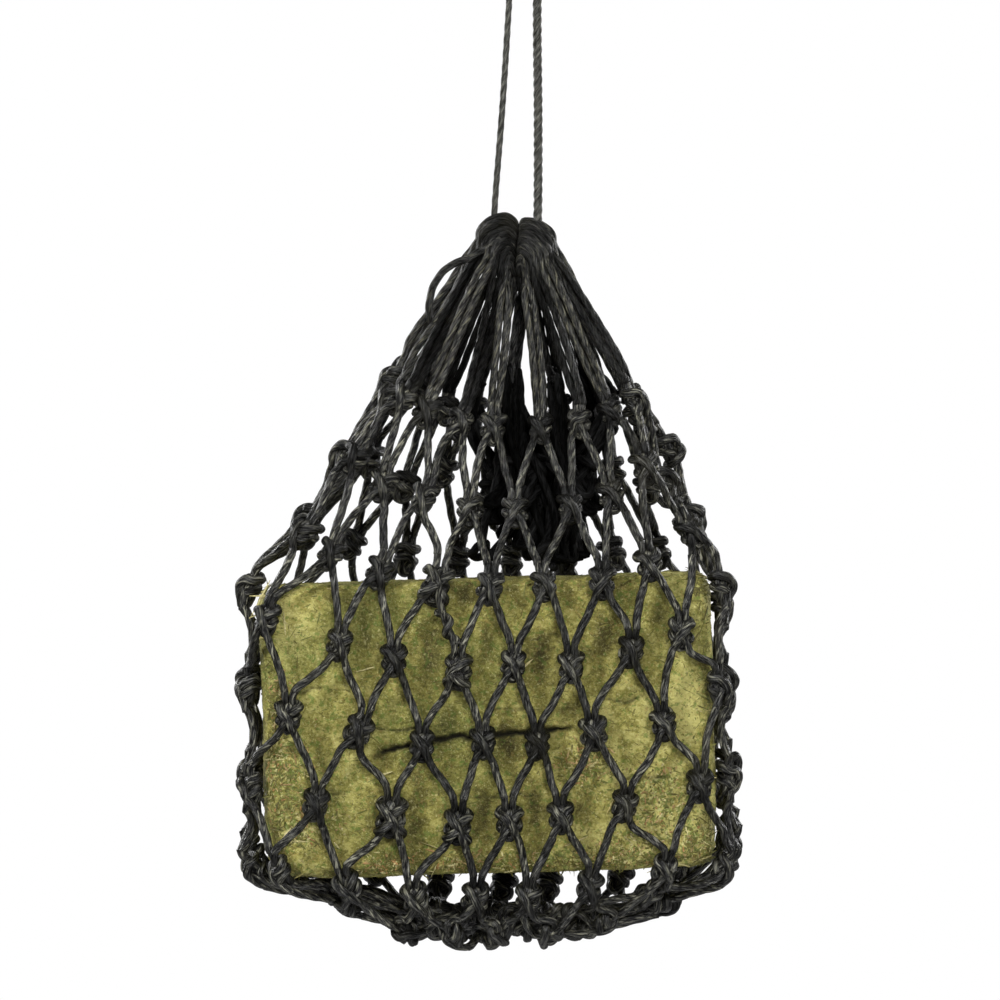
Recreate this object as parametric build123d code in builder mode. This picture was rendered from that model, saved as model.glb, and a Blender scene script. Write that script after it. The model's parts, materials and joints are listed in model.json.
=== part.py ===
from build123d import *
import math
import os

# Hay net hung by its draw cord, filled with one pressed block of hay.
# Millimetres. +X is to the right, +Z is up, +Y runs from the front to the back.
# The origin is the centre of the hanging eye, where a hook takes the load.
# The net is laid out in its own upright frame (origin near the middle of the
# hay), which is then leaned over so that it hangs from the eye.

os.makedirs("parts", exist_ok=True)

# ------------------------------------------------------------ dimensions
CORD_D = 4.2            # net twine and draw cord, twisted
CORD_R = CORD_D / 2

EYE_AT = (8.5, 510.0)   # x, z of the hanging eye in the net frame
EYE_BORE_R = 18.0       # clear radius for a hook or ring
EYE_BAND = 2.5          # width of the flat worn band inside the eye
HANG_TILT = 2.539       # lean that puts the load under the eye, degrees

MESHES_ROUND = 20       # meshes round the net
KNOT_R, KNOT_H = 6.0, 16.0          # half width and height of a net knot
LOW_KNOT_R, LOW_KNOT_H = 5.2, 12.0  # knots pressed together under the hay
FIRST_LOW_ROW = 7       # index in KNOTS of the first row of low knots
KNOT_ROUNDING = 0.55    # edge fillet, as a share of the knot's radius
KNOT_REACH = 0.36       # knot centre to end of twine, as a share of its height
LEG_SPREAD_TOP = 3.2    # sideways offset of a mesh leg at its upper knot
LEG_SPREAD_LOW = 2.3    # and at its lower knot
SHORTEST_LEG = 3        # legs no longer than this are left out

HAY_W, HAY_D, HAY_H = 226.0, 84.0, 147.0
HAY_EDGE = 10.0         # rounding of the block's edges
HAY_AT = (-14.5, 0.0, -2.0)
HAY_TILT = 1.7          # right end higher, degrees

# Sections of the fold of spare netting, from the top: x, y, z, half width, half depth
SPARE_FOLD = (
    (8, 4.5, 153, 18, 7),
    (14, 2, 120, 23, 11),
    (16, 1, 84, 25, 14),
)

BUNCH_W, BUNCH_D = 19.4, 27.0   # one gathered half of the mouth
BUNCH_L_X, BUNCH_R_X = -11.2, 10.4
BUNCH_L_TOP, BUNCH_R_TOP = 254.5, 252.0
BUNCH_BOTTOM = 228.0
BUNCH_DOME = 5.5        # rounding of the top of a bunch
LOOP_R = 1.95           # a mouth loop, its two cords drawn together as one bar
LOOP_FAN = 248          # arc over which the loops enter a bunch, degrees
LOOP_INSET = 1          # loop ends inside the bunch's outline
LOOP_DROP = 2.6         # loop ends below the bunch
DRAW_Z = 243.5          # height of the draw cord inside the bunches
DRAW_CLEAR = 0.4        # running clearance of the draw cord in a bunch

UPPER_TURN_DROP = 30.5  # upper turn of the hanging knot, below the eye's centre
UPPER_TURN_R = 7.6
LOWER_TURN_R = 7.0
LOWER_TURN_DROP = 15.4  # lower turn, below the upper one
STRAND_GAP = 1.2        # air at each end of a strand of the draw cord
STRAND_OFFSET = 4.4     # a strand's top, to either side of the knot's centre
# Start and end of each cord tail, from the centre of the lower turn
CORD_TAILS = (
    ((-1.0, -6.0, 1.5), (-6, -22, -40)),
    ((1.0, 6.0, 1.5), (5, 20, -33)),
)

BASE_AT = (-7.0, 2.0, -101.0)
BASE_RING_R = 17.0      # mean radius of the gathering cord
BASE_LOOP_R = CORD_R - 0.3
BASE_LOOP_BITE = 1.5    # how far a base loop starts inside its knot's radius
BASE_LOOP_SHIFT = 0.2   # turn of the loops round the ring, in meshes
RING_KNOT_R, RING_KNOT_L = 5.0, 13.0
RING_KNOT_EDGE = 2.6
RING_KNOT_X = 2         # right of the ring's centre

# Knot centres x, y, z in the net frame, row by row from the mouth to the base,
# going round from the left front corner along the front, the right side, the
# back and the left side.
KNOTS = [
    [  # row 1
        (-62.5, -13, 161.5), (-57, -25, 160), (-45, -23.5, 155), (-28.5, -16.5, 148.5),
        (-12, -16.5, 146.5), (11.5, -17, 146.5), (31, -18.5, 149), (46.5, -22.5, 155),
        (58.5, -25, 160), (60.5, 0, 152), (57.5, 18.5, 162), (45, 15, 160.5),
        (37.5, 27, 158), (21.5, 19.5, 156), (-3, 14, 153), (-21.5, 20, 156),
        (-35.5, 15, 156), (-46.5, 23, 165), (-56, 17, 176.5), (-62, 2, 171),
    ],
    [  # row 2
        (-80.5, -27.5, 131.5), (-67, -32.5, 118), (-46, -34.5, 112), (-23.5, -26.5, 105.5),
        (-1, -27, 105), (26, -30.5, 107), (46.5, -37, 113), (63.5, -44, 127),
        (73.5, -18, 119), (75, 10, 136.5), (66, 25.5, 116.5), (48.5, 38, 125),
        (32, 33.5, 110), (11.5, 34, 119), (-15.5, 27, 107.5), (-36.5, 33, 125),
        (-56.5, 30, 117.5), (-74, 26, 131), (-79, 14, 132.5), (-85, -9, 134),
    ],
    [  # row 3
        (-106, -31.5, 94.5), (-92, -40.5, 84.5), (-68, -42.5, 75), (-40, -46, 69.5),
        (-13.5, -47.5, 67.5), (13, -47.5, 68.5), (42, -47, 70), (65, -47, 79),
        (85.5, -40, 95), (87.5, -3.5, 102), (86, 35, 95.5), (71.5, 50, 84),
        (48.5, 46.5, 83.5), (24, 48, 81), (-2.5, 46, 80), (-30, 46.5, 80),
        (-56, 46, 81.5), (-83, 43, 88), (-105, 25, 93), (-104, -1, 102),
    ],
    [  # row 4
        (-123.5, -48.5, 51.5), (-88, -48.5, 39), (-61, -48.5, 31.5), (-29, -48.5, 26.5),
        (-2, -48.5, 29), (26.5, -48.5, 28.5), (56, -48.5, 36), (81, -48.5, 45),
        (101, -38.5, 68), (102, 10, 57), (92.5, 50, 50), (66, 48.5, 37.5),
        (36, 48.5, 35.5), (10.5, 48.5, 33), (-16, 48.5, 33), (-46.5, 48.5, 33.5),
        (-77.5, 48.5, 39), (-115, 50.5, 53.5), (-133.5, 18.5, 66), (-133, -10.5, 67),
    ],
    [  # row 5
        (-133.5, -28.5, 16.5), (-113, -50, 4), (-78.5, -48.5, -4), (-47, -48.5, -10.5),
        (-17, -48.5, -9), (10, -48.5, -10), (37.5, -48.5, -4.5), (72, -48.5, 0),
        (99.5, -45.5, 18.5), (103, -21.5, 21.5), (103.5, 29, 11.5), (82.5, 48.5, 2),
        (50.5, 48.5, -4), (20.5, 48.5, -5), (-5.5, 48.5, -7), (-34, 48.5, -7),
        (-65.5, 48.5, -5), (-104.5, 48.5, 5), (-133.5, 30, 17), (-133.5, -0.5, 21),
    ],
    [  # row 6
        (-132, -36, -32.5), (-99.5, -48.5, -40), (-62.5, -48.5, -45.5), (-29.5, -48.5, -50),
        (-4, -48.5, -48.5), (21.5, -48.5, -46), (53, -48.5, -40.5), (90, -48.5, -30.5),
        (104.5, -33, -27), (105, -3, -22), (98.5, 45.5, -34.5), (68, 48.5, -40.5),
        (31.5, 48.5, -43.5), (6.5, 48.5, -46.5), (-21.5, 48.5, -46.5), (-51, 48.5, -44.5),
        (-86.5, 48.5, -38.5), (-128.5, 42.5, -31.5), (-132.5, 16.5, -25.5), (-133, -8, -26),
    ],
    [  # row 7
        (-130.5, -19, -73), (-116.5, -48, -73), (-83.5, -44, -81), (-50.5, -44, -87),
        (-21, -43, -87), (5.5, -43.5, -86.5), (35.5, -44, -81), (72.5, -45.5, -72.5),
        (103, -37, -71.5), (105.5, -11, -63), (105.5, 13, -56), (83, 43.5, -76.5),
        (52, 44, -80.5), (16, 42.5, -84.5), (-7, 43, -85.5), (-39, 44, -84),
        (-72, 45.5, -76.5), (-107.5, 47.5, -74), (-130.5, 24, -74), (-131, 2, -66),
    ],
    [  # row 8
        (-88.5, -15.5, -84), (-84, -23.5, -91.5), (-55.5, -32, -103.5), (-31, -38, -105),
        (-9, -39.5, -105), (16, -38.5, -104.5), (43.5, -32.5, -99), (65, -24, -85.5),
        (71, -15, -90.5), (77, 4, -91), (73.5, 15, -88), (57, 27, -95.5),
        (32, 38.5, -103.5), (-17.5, 36, -104.5), (-29, 38, -104), (-45.5, 31, -102),
        (-69, 32.5, -94.5), (-85, 23, -85.5), (-89.5, 11.5, -88), (-91, -4, -86),
    ],
    [  # row 9
        (-51, -1.5, -103.5), (-46, -10, -96), (-40.5, -17.5, -103), (-25, -19.5, -96.5),
        (-15.5, -20, -104), (-3, -21, -96), (6, -20, -104), (22, -19, -96),
        (29, -13.5, -103.5), (34, -5.5, -97), (35.5, 5, -104), (30.5, 14.5, -97),
        (21, 20, -104), (11.5, 24.5, -97), (1, 26.5, -104), (-10, 27, -97),
        (-25, 26, -103), (-40, 23, -95), (-47, 17.5, -103), (-49.5, 8, -96),
    ],
]
LAST_ROW = len(KNOTS) - 1

# Columns of row 1 whose loops gather into each half of the mouth
LEFT_COLUMNS = [*range(15, 20), *range(5)]
RIGHT_COLUMNS = [*range(5, 15)]

# Halves of the mouth: name, bunch x, bunch top, columns, middle of the loop
# fan in degrees, side of the hanging knot that its strand runs to
MOUTH_HALVES = (
    ("left", BUNCH_L_X, BUNCH_L_TOP, LEFT_COLUMNS, 180, -1),
    ("right", BUNCH_R_X, BUNCH_R_TOP, RIGHT_COLUMNS, 0, 1),
)


# ----------------------------------------------------------------- helpers
LEAN_COS = math.cos(math.radians(HANG_TILT))
LEAN_SIN = math.sin(math.radians(HANG_TILT))


def turn(direction):
    """A direction in the net frame, leaned as the net hangs."""
    d = Vector(direction)
    return Vector(d.X * LEAN_COS - d.Z * LEAN_SIN, d.Y, d.X * LEAN_SIN + d.Z * LEAN_COS)


def hang(point):
    """A point in the net frame, as it hangs from the eye."""
    p = Vector(point)
    return turn((p.X - EYE_AT[0], p.Y, p.Z - EYE_AT[1]))


def level_plane(point):
    """The net frame's horizontal plane through a point, as it hangs."""
    return Plane(origin=hang(point), x_dir=turn((1, 0, 0)), z_dir=turn((0, 0, 1)))


def cross_plane(point):
    """A plane through a point, facing along the net frame's X."""
    return Plane(origin=hang(point), z_dir=turn((1, 0, 0)))


def bar(start, end, radius):
    """Add a round bar between two hung points to the open BuildPart."""
    along = end - start
    with Locations(Plane(origin=start, z_dir=along)):
        Cylinder(radius, along.length, align=(Align.CENTER, Align.CENTER, Align.MIN))


def save(part, name):
    part.label = name
    export_step(part, f"parts/{name}.step")


# ------------------------------------------------------------- net geometry
CENTRES = [[hang(point) for point in row] for row in KNOTS]


def neighbours(row, column):
    """Columns of the two knots joined to this one, in the row above or below."""
    if row % 2 == 0:
        return (column - 1) % MESHES_ROUND, column
    return column, (column + 1) % MESHES_ROUND


def ring_point(column):
    """Where the base loop of a column meets the gathering cord."""
    angle = 2 * math.pi * (column + BASE_LOOP_SHIFT) / MESHES_ROUND
    x = BASE_AT[0] - BASE_RING_R * math.cos(angle)
    y = BASE_AT[1] - BASE_RING_R * math.sin(angle)
    return hang((x, y, BASE_AT[2]))


def knot_frame(row, column):
    """Centre, up direction and sideways direction of one knot."""
    centre = CENTRES[row][column]
    first, second = neighbours(row, column)
    if row == 0:
        bunch_x = BUNCH_L_X if column in LEFT_COLUMNS else BUNCH_R_X
        upper = hang((bunch_x, 0, BUNCH_BOTTOM))
    else:
        upper = (CENTRES[row - 1][first] + CENTRES[row - 1][second]) * 0.5
    if row == LAST_ROW:
        lower = ring_point(column)
        side = CENTRES[row][(column + 1) % MESHES_ROUND] - CENTRES[row][column - 1]
    else:
        lower = (CENTRES[row + 1][first] + CENTRES[row + 1][second]) * 0.5
        side = CENTRES[row + 1][second] - CENTRES[row + 1][first]
    up = (upper - centre).normalized() + (centre - lower).normalized()
    up = up.normalized()
    side = (side - up * side.dot(up)).normalized()
    return centre, up, side


FRAMES = [[knot_frame(row, column) for column in range(MESHES_ROUND)]
          for row in range(len(KNOTS))]


def reach(row):
    """How far from its centre the twine enters a knot of this row."""
    return KNOT_REACH * (KNOT_H if row < FIRST_LOW_ROW else LOW_KNOT_H)


# --------------------------------------------------------------- net knots
def make_knot(radius, height):
    with BuildPart() as knot:
        Cylinder(radius, height)
        fillet(knot.edges(), radius * KNOT_ROUNDING)
    return knot.part


def make_knots_row(row, knot):
    planes = [Plane(origin=centre, x_dir=side, z_dir=up) for centre, up, side in FRAMES[row]]
    with BuildPart() as knots_row:
        with Locations(*planes):
            add(knot)
    save(knots_row.part, f"knots_row_{row + 1}")


net_knot = make_knot(KNOT_R, KNOT_H)
low_knot = make_knot(LOW_KNOT_R, LOW_KNOT_H)
for row in range(len(KNOTS)):
    make_knots_row(row, net_knot if row < FIRST_LOW_ROW else low_knot)


# ------------------------------------------------- mesh legs between knots
def make_mesh_row(row):
    """The legs from one row of knots down to the next."""
    with BuildPart() as mesh_row:
        for column in range(MESHES_ROUND):
            centre, up, side = FRAMES[row][column]
            for low_column, sign in zip(neighbours(row, column), (-1, 1)):
                low_centre, low_up, low_side = FRAMES[row + 1][low_column]
                start = centre - up * reach(row) + side * (LEG_SPREAD_TOP * sign)
                end = low_centre + low_up * reach(row + 1) - low_side * (LEG_SPREAD_LOW * sign)
                if (end - start).length > SHORTEST_LEG:
                    bar(start, end, CORD_R)
    save(mesh_row.part, f"mesh_row_{row + 1}")


for row in range(LAST_ROW):
    make_mesh_row(row)

# -------------------------------------------------------------- net's base
with BuildPart() as base_loops:
    for column in range(MESHES_ROUND):
        centre = CENTRES[LAST_ROW][column]
        toward = (ring_point(column) - centre).normalized()
        bar(centre + toward * (LOW_KNOT_R - BASE_LOOP_BITE), ring_point(column), BASE_LOOP_R)
save(base_loops.part, "base_loops")

with BuildPart(level_plane(BASE_AT)) as base_ring:
    Torus(BASE_RING_R, CORD_R)
save(base_ring.part, "base_ring")

# The knot lies along X at the front of the ring.
ring_knot_at = (BASE_AT[0] + RING_KNOT_X, BASE_AT[1] - BASE_RING_R, BASE_AT[2])
with BuildPart(cross_plane(ring_knot_at)) as base_ring_knot:
    Cylinder(RING_KNOT_R, RING_KNOT_L)
    fillet(base_ring_knot.edges(), RING_KNOT_EDGE)
save(base_ring_knot.part, "base_ring_knot")

# --------------------------------------------------------------- hay block
hay_cos = math.cos(math.radians(HAY_TILT))
hay_sin = math.sin(math.radians(HAY_TILT))
hay_plane = Plane(
    origin=hang(HAY_AT),
    x_dir=turn((hay_cos, 0, hay_sin)),
    z_dir=turn((-hay_sin, 0, hay_cos)),
)
with BuildPart(hay_plane) as hay_block:
    Box(HAY_W, HAY_D, HAY_H)
    fillet(hay_block.edges(), HAY_EDGE)
save(hay_block.part, "hay_block")

# --------------------------- spare netting, a fold hanging inside the neck
with BuildPart() as spare_netting:
    for x, y, z, half_width, half_depth in SPARE_FOLD:
        with BuildSketch(level_plane((x, y, z))):
            Ellipse(half_width, half_depth)
    loft()
save(spare_netting.part, "spare_netting")


# -------------------------------------------------------------- the mouth
# Each half of the mouth is ten loops gathered on the draw cord.
def make_bunch(name, bunch_x, top):
    """A domed oval bunch, bored along X for the draw cord."""
    plane = level_plane((bunch_x, 0, BUNCH_BOTTOM))
    with BuildPart(plane) as bunch:
        with BuildSketch(plane):
            Ellipse(BUNCH_W / 2, BUNCH_D / 2)
        extrude(amount=top - BUNCH_BOTTOM)
        fillet(bunch.edges().group_by(Axis.Z)[-1], BUNCH_DOME)
        with Locations(Location((0, 0, DRAW_Z - BUNCH_BOTTOM), (0, 90, 0))):
            Cylinder(CORD_R + DRAW_CLEAR, BUNCH_W * 2, mode=Mode.SUBTRACT)
    save(bunch.part, f"mouth_bunch_{name}")


def loop_end(bunch_x, degrees):
    """Point just under a bunch where one mouth loop ends."""
    angle = math.radians(degrees)
    return hang((bunch_x + (BUNCH_W / 2 - LOOP_INSET) * math.cos(angle),
                 (BUNCH_D / 2 - LOOP_INSET) * math.sin(angle),
                 BUNCH_BOTTOM - LOOP_DROP))


def make_mouth_loops(name, bunch_x, columns, fan_middle):
    fan_start = fan_middle - LOOP_FAN / 2
    with BuildPart() as loops:
        for i, column in enumerate(columns):
            centre, up, _ = FRAMES[0][column]
            degrees = fan_start + LOOP_FAN * i / (len(columns) - 1)
            bar(centre + up * reach(0), loop_end(bunch_x, degrees), LOOP_R)
    save(loops.part, f"mouth_loops_{name}")


# ------------------------------------------- the draw cord and hanging knot
upper_turn_at = Vector(0, 0, -UPPER_TURN_DROP)
lower_turn_at = upper_turn_at - Vector(0, 0, LOWER_TURN_DROP)


def make_draw_strand(name, bunch_x, bunch_top, sign):
    """One strand, from above its bunch to just under the hanging knot."""
    foot = hang((bunch_x, 0, bunch_top + STRAND_GAP))
    head = Vector(sign * STRAND_OFFSET, 0, lower_turn_at.Z - LOWER_TURN_R - STRAND_GAP)
    with BuildPart() as strand:
        bar(foot, head, CORD_R)
    save(strand.part, f"draw_strand_{name}")


def make_knot_turn(name, centre, radius):
    with BuildPart(Plane(origin=centre)) as knot_turn:
        Sphere(radius)
    save(knot_turn.part, f"knot_{name}_turn")


for name, bunch_x, top, columns, fan_middle, sign in MOUTH_HALVES:
    make_bunch(name, bunch_x, top)
    make_mouth_loops(name, bunch_x, columns, fan_middle)
    make_draw_strand(name, bunch_x, top, sign)

# The cord's run through the bores, from the middle of one bunch to the other
with BuildPart(cross_plane(((BUNCH_L_X + BUNCH_R_X) / 2, 0, DRAW_Z))) as draw_cord_bend:
    Cylinder(CORD_R, BUNCH_R_X - BUNCH_L_X)
save(draw_cord_bend.part, "draw_cord_bend")

make_knot_turn("upper", upper_turn_at, UPPER_TURN_R)
make_knot_turn("lower", lower_turn_at, LOWER_TURN_R)

with BuildPart() as cord_tails:
    for start, end in CORD_TAILS:
        bar(lower_turn_at + Vector(start), lower_turn_at + Vector(end), CORD_R)
save(cord_tails.part, "cord_tails")

# ---------------------------------------------------------- the hanging eye
# A ring of cord round the Y axis, with the flat band lining its bore.
with BuildPart() as hanging_eye:
    with BuildSketch(Plane.XY):
        with Locations((EYE_BORE_R + CORD_R, 0)):
            Circle(CORD_R)
        with Locations((EYE_BORE_R, 0)):
            Rectangle(CORD_R, EYE_BAND, align=(Align.MIN, Align.CENTER))
    revolve(axis=Axis.Y)
save(hanging_eye.part, "hanging_eye")
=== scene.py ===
import bpy
import json
import math
import numpy as np
from collections import namedtuple
from mathutils import Matrix, Vector
from mathutils.kdtree import KDTree

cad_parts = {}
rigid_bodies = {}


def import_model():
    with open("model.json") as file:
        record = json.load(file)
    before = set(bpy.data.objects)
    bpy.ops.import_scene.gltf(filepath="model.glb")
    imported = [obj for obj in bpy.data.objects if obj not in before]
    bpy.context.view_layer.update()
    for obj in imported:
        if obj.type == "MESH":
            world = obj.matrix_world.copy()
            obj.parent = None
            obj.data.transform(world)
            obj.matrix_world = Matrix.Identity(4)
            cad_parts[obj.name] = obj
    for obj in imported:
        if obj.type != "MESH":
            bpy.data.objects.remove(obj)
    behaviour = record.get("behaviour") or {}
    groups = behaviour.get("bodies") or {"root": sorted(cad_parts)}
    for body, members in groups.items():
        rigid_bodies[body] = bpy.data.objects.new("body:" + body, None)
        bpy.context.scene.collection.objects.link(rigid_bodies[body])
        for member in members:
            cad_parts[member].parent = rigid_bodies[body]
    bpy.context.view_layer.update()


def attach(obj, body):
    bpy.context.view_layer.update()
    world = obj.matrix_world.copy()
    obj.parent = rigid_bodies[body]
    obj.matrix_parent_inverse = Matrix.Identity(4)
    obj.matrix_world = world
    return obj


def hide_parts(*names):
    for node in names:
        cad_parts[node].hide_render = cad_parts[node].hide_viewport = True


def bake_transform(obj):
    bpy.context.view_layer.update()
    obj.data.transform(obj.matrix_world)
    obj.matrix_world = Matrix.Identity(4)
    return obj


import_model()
scene = bpy.context.scene

# ------------------------------------------------------------ dimensions (mm)
CORD_R = 4.2 / 2        # nominal draw cord
TWINE_R = 2.08          # net twine
PLIES = 3

HAY_HALF = np.array([226.0, 84.0, 147.0]) / 2
HALF_W, HALF_D, HALF_H = HAY_HALF
HAY_AT = np.array([-14.5, 0.0, -2.0])
HAY_TILT = math.radians(1.7)        # right end higher

EYE_AT = np.array([8.5, 0.0, 510.0])  # hanging eye in the net's frame
EYE_BORE_R = 18.0
HANG_TILT = math.radians(2.539)     # lean that puts the load under the eye

Bunch = namedtuple("Bunch", "side sign x top")  # one gathered half of the mouth
LEFT = Bunch("left", -1, -11.2, 254.5)
RIGHT = Bunch("right", 1, 10.4, 252.0)
BUNCH_BOTTOM = 228.0
DRAW_Z = 243.5          # height of the draw cord inside the bunches

KNOT_PIVOT_DROP = 30.5  # upper turn of the hanging knot, below the eye's centre
LOWER_TURN_DROP = 15.4  # lower turn, below the upper one

BASE_AT = np.array([-7.0, 2.0, -101.0])
BASE_RING_R = 17.0      # mean radius of the gathering cord

# Centres of the net's knots, x, y, z. Rows run from the mouth down to the base; columns run
# from the left end along the front to the right, and back along the rear.
KNOTS = np.array([
    [  # row 1
        (-62.5, -13, 161.5), (-57, -25, 160), (-45, -23.5, 155), (-28.5, -16.5, 148.5),
        (-12, -16.5, 146.5), (11.5, -17, 146.5), (31, -18.5, 149), (46.5, -22.5, 155),
        (58.5, -25, 160), (60.5, 0, 152), (57.5, 18.5, 162), (45, 15, 160.5), (37.5, 27, 158),
        (21.5, 19.5, 156), (-3, 14, 153), (-21.5, 20, 156), (-35.5, 15, 156),
        (-46.5, 23, 165), (-56, 17, 176.5), (-62, 2, 171),
    ],
    [  # row 2
        (-80.5, -27.5, 131.5), (-67, -32.5, 118), (-46, -34.5, 112), (-23.5, -26.5, 105.5),
        (-1, -27, 105), (26, -30.5, 107), (46.5, -37, 113), (63.5, -44, 127), (73.5, -18, 119),
        (75, 10, 136.5), (66, 25.5, 116.5), (48.5, 38, 125), (32, 33.5, 110), (11.5, 34, 119),
        (-15.5, 27, 107.5), (-36.5, 33, 125), (-56.5, 30, 117.5), (-74, 26, 131),
        (-79, 14, 132.5), (-85, -9, 134),
    ],
    [  # row 3
        (-106, -31.5, 94.5), (-92, -40.5, 84.5), (-68, -42.5, 75), (-40, -46, 69.5),
        (-13.5, -47.5, 67.5), (13, -47.5, 68.5), (42, -47, 70), (65, -47, 79), (85.5, -40, 95),
        (87.5, -3.5, 102), (86, 35, 95.5), (71.5, 50, 84), (48.5, 46.5, 83.5), (24, 48, 81),
        (-2.5, 46, 80), (-30, 46.5, 80), (-56, 46, 81.5), (-83, 43, 88), (-105, 25, 93),
        (-104, -1, 102),
    ],
    [  # row 4
        (-123.5, -48.5, 51.5), (-88, -48.5, 39), (-61, -48.5, 31.5), (-29, -48.5, 26.5),
        (-2, -48.5, 29), (26.5, -48.5, 28.5), (56, -48.5, 36), (81, -48.5, 45),
        (101, -38.5, 68), (102, 10, 57), (92.5, 50, 50), (66, 48.5, 37.5), (36, 48.5, 35.5),
        (10.5, 48.5, 33), (-16, 48.5, 33), (-46.5, 48.5, 33.5), (-77.5, 48.5, 39),
        (-115, 50.5, 53.5), (-133.5, 18.5, 66), (-133, -10.5, 67),
    ],
    [  # row 5
        (-133.5, -28.5, 16.5), (-113, -50, 4), (-78.5, -48.5, -4), (-47, -48.5, -10.5),
        (-17, -48.5, -9), (10, -48.5, -10), (37.5, -48.5, -4.5), (72, -48.5, 0),
        (99.5, -45.5, 18.5), (103, -21.5, 21.5), (103.5, 29, 11.5), (82.5, 48.5, 2),
        (50.5, 48.5, -4), (20.5, 48.5, -5), (-5.5, 48.5, -7), (-34, 48.5, -7),
        (-65.5, 48.5, -5), (-104.5, 48.5, 5), (-133.5, 30, 17), (-133.5, -0.5, 21),
    ],
    [  # row 6
        (-132, -36, -32.5), (-99.5, -48.5, -40), (-62.5, -48.5, -45.5), (-29.5, -48.5, -50),
        (-4, -48.5, -48.5), (21.5, -48.5, -46), (53, -48.5, -40.5), (90, -48.5, -30.5),
        (104.5, -33, -27), (105, -3, -22), (98.5, 45.5, -34.5), (68, 48.5, -40.5),
        (31.5, 48.5, -43.5), (6.5, 48.5, -46.5), (-21.5, 48.5, -46.5), (-51, 48.5, -44.5),
        (-86.5, 48.5, -38.5), (-128.5, 42.5, -31.5), (-132.5, 16.5, -25.5), (-133, -8, -26),
    ],
    [  # row 7
        (-130.5, -19, -73), (-116.5, -48, -73), (-83.5, -44, -81), (-50.5, -44, -87),
        (-21, -43, -87), (5.5, -43.5, -86.5), (35.5, -44, -81), (72.5, -45.5, -72.5),
        (103, -37, -71.5), (105.5, -11, -63), (105.5, 13, -56), (83, 43.5, -76.5),
        (52, 44, -80.5), (16, 42.5, -84.5), (-7, 43, -85.5), (-39, 44, -84),
        (-72, 45.5, -76.5), (-107.5, 47.5, -74), (-130.5, 24, -74), (-131, 2, -66),
    ],
    [  # row 8
        (-88.5, -15.5, -84), (-84, -23.5, -91.5), (-55.5, -32, -103.5), (-31, -38, -105),
        (-9, -39.5, -105), (16, -38.5, -104.5), (43.5, -32.5, -99), (65, -24, -85.5),
        (71, -15, -90.5), (77, 4, -91), (73.5, 15, -88), (57, 27, -95.5), (32, 38.5, -103.5),
        (-17.5, 36, -104.5), (-29, 38, -104), (-45.5, 31, -102), (-69, 32.5, -94.5),
        (-85, 23, -85.5), (-89.5, 11.5, -88), (-91, -4, -86),
    ],
    [  # row 9
        (-51, -1.5, -103.5), (-46, -10, -96), (-40.5, -17.5, -103), (-25, -19.5, -96.5),
        (-15.5, -20, -104), (-3, -21, -96), (6, -20, -104), (22, -19, -96),
        (29, -13.5, -103.5), (34, -5.5, -97), (35.5, 5, -104), (30.5, 14.5, -97),
        (21, 20, -104), (11.5, 24.5, -97), (1, 26.5, -104), (-10, 27, -97), (-25, 26, -103),
        (-40, 23, -95), (-47, 17.5, -103), (-49.5, 8, -96),
    ],
], float)
ROWS, COLUMNS = KNOTS.shape[:2]


# ------------------------------------------------------------ frames
def rotate(x, y, angle):
    c, s = math.cos(angle), math.sin(angle)
    return x * c - y * s, x * s + y * c


def tilt(points, angle):
    """Turns points about the y axis; a positive angle lifts +x."""
    points = np.asarray(points, float)
    x, z = rotate(points[..., 0], points[..., 2], angle)
    return np.stack([x, points[..., 1], z], -1)


def hang(points):
    """Net frame (mm) to row frame (m)."""
    return tilt(points - EYE_AT, HANG_TILT) * 0.001


def unhang(points):
    """Row frame (mm) to net frame (mm)."""
    return tilt(points, -HANG_TILT) + EYE_AT


def row_place(points):
    """Row frame, mm to m."""
    return points * 0.001


def hay_to_net(points):
    return tilt(points, HAY_TILT) + HAY_AT


def net_to_hay(points):
    return tilt(points - HAY_AT, -HAY_TILT)


def unit(vectors):
    vectors = np.asarray(vectors, float)
    return vectors / np.maximum(np.linalg.norm(vectors, axis=-1, keepdims=True), 1e-9)


# ------------------------------------------------------------ seeded noise
LOW_32 = np.uint64(0xFFFFFFFF)


def lattice(cells, seed):
    """A repeatable random value, 0 to 1, for each whole-numbered cell."""
    mixed = cells @ np.array([374761393, 668265263, 2147483629]) + seed * 1274126177
    mixed = mixed.astype(np.uint64) & LOW_32
    for shift, factor in ((13, 1274126177), (16, 1), (11, 2654435761)):
        mixed = ((mixed ^ (mixed >> np.uint64(shift))) * np.uint64(factor)) & LOW_32
    mixed = mixed ^ (mixed >> np.uint64(15))
    return mixed.astype(float) / 4294967295.0


def noise(points, seed):
    """Smooth value noise, -1 to 1."""
    cells = np.floor(points)
    part = points - cells
    part = part * part * (3 - 2 * part)
    total = 0
    for corner in np.ndindex(2, 2, 2):
        weight = np.prod(np.where(corner, part, 1 - part), -1)
        total = total + weight * lattice(cells.astype(np.int64) + corner, seed)
    return total * 2 - 1


def fbm(points, seed, octaves, gain=0.5):
    """Layered noise, each octave finer and weaker."""
    total, strength, most = 0, 1.0, 0.0
    for i in range(octaves):
        total = total + strength * noise(points * 2.03 ** i + 17.3 * i, seed + 31 * i)
        most += strength
        strength *= gain
    return total / most


# ------------------------------------------------------------ curves
def lengths(paths):
    """Distance along each path (path, point, 3)."""
    gaps = np.linalg.norm(np.diff(paths, axis=1), axis=2)
    return np.concatenate([np.zeros((len(paths), 1)), np.cumsum(gaps, 1)], 1)


def even(paths, count):
    """Resamples paths to evenly spaced points."""
    out = np.empty((len(paths), count, 3))
    for i, (path, along) in enumerate(zip(paths, lengths(paths))):
        stops = np.linspace(0, along[-1], count)
        for axis in range(3):
            out[i, :, axis] = np.interp(stops, along, path[:, axis])
    return out


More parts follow.
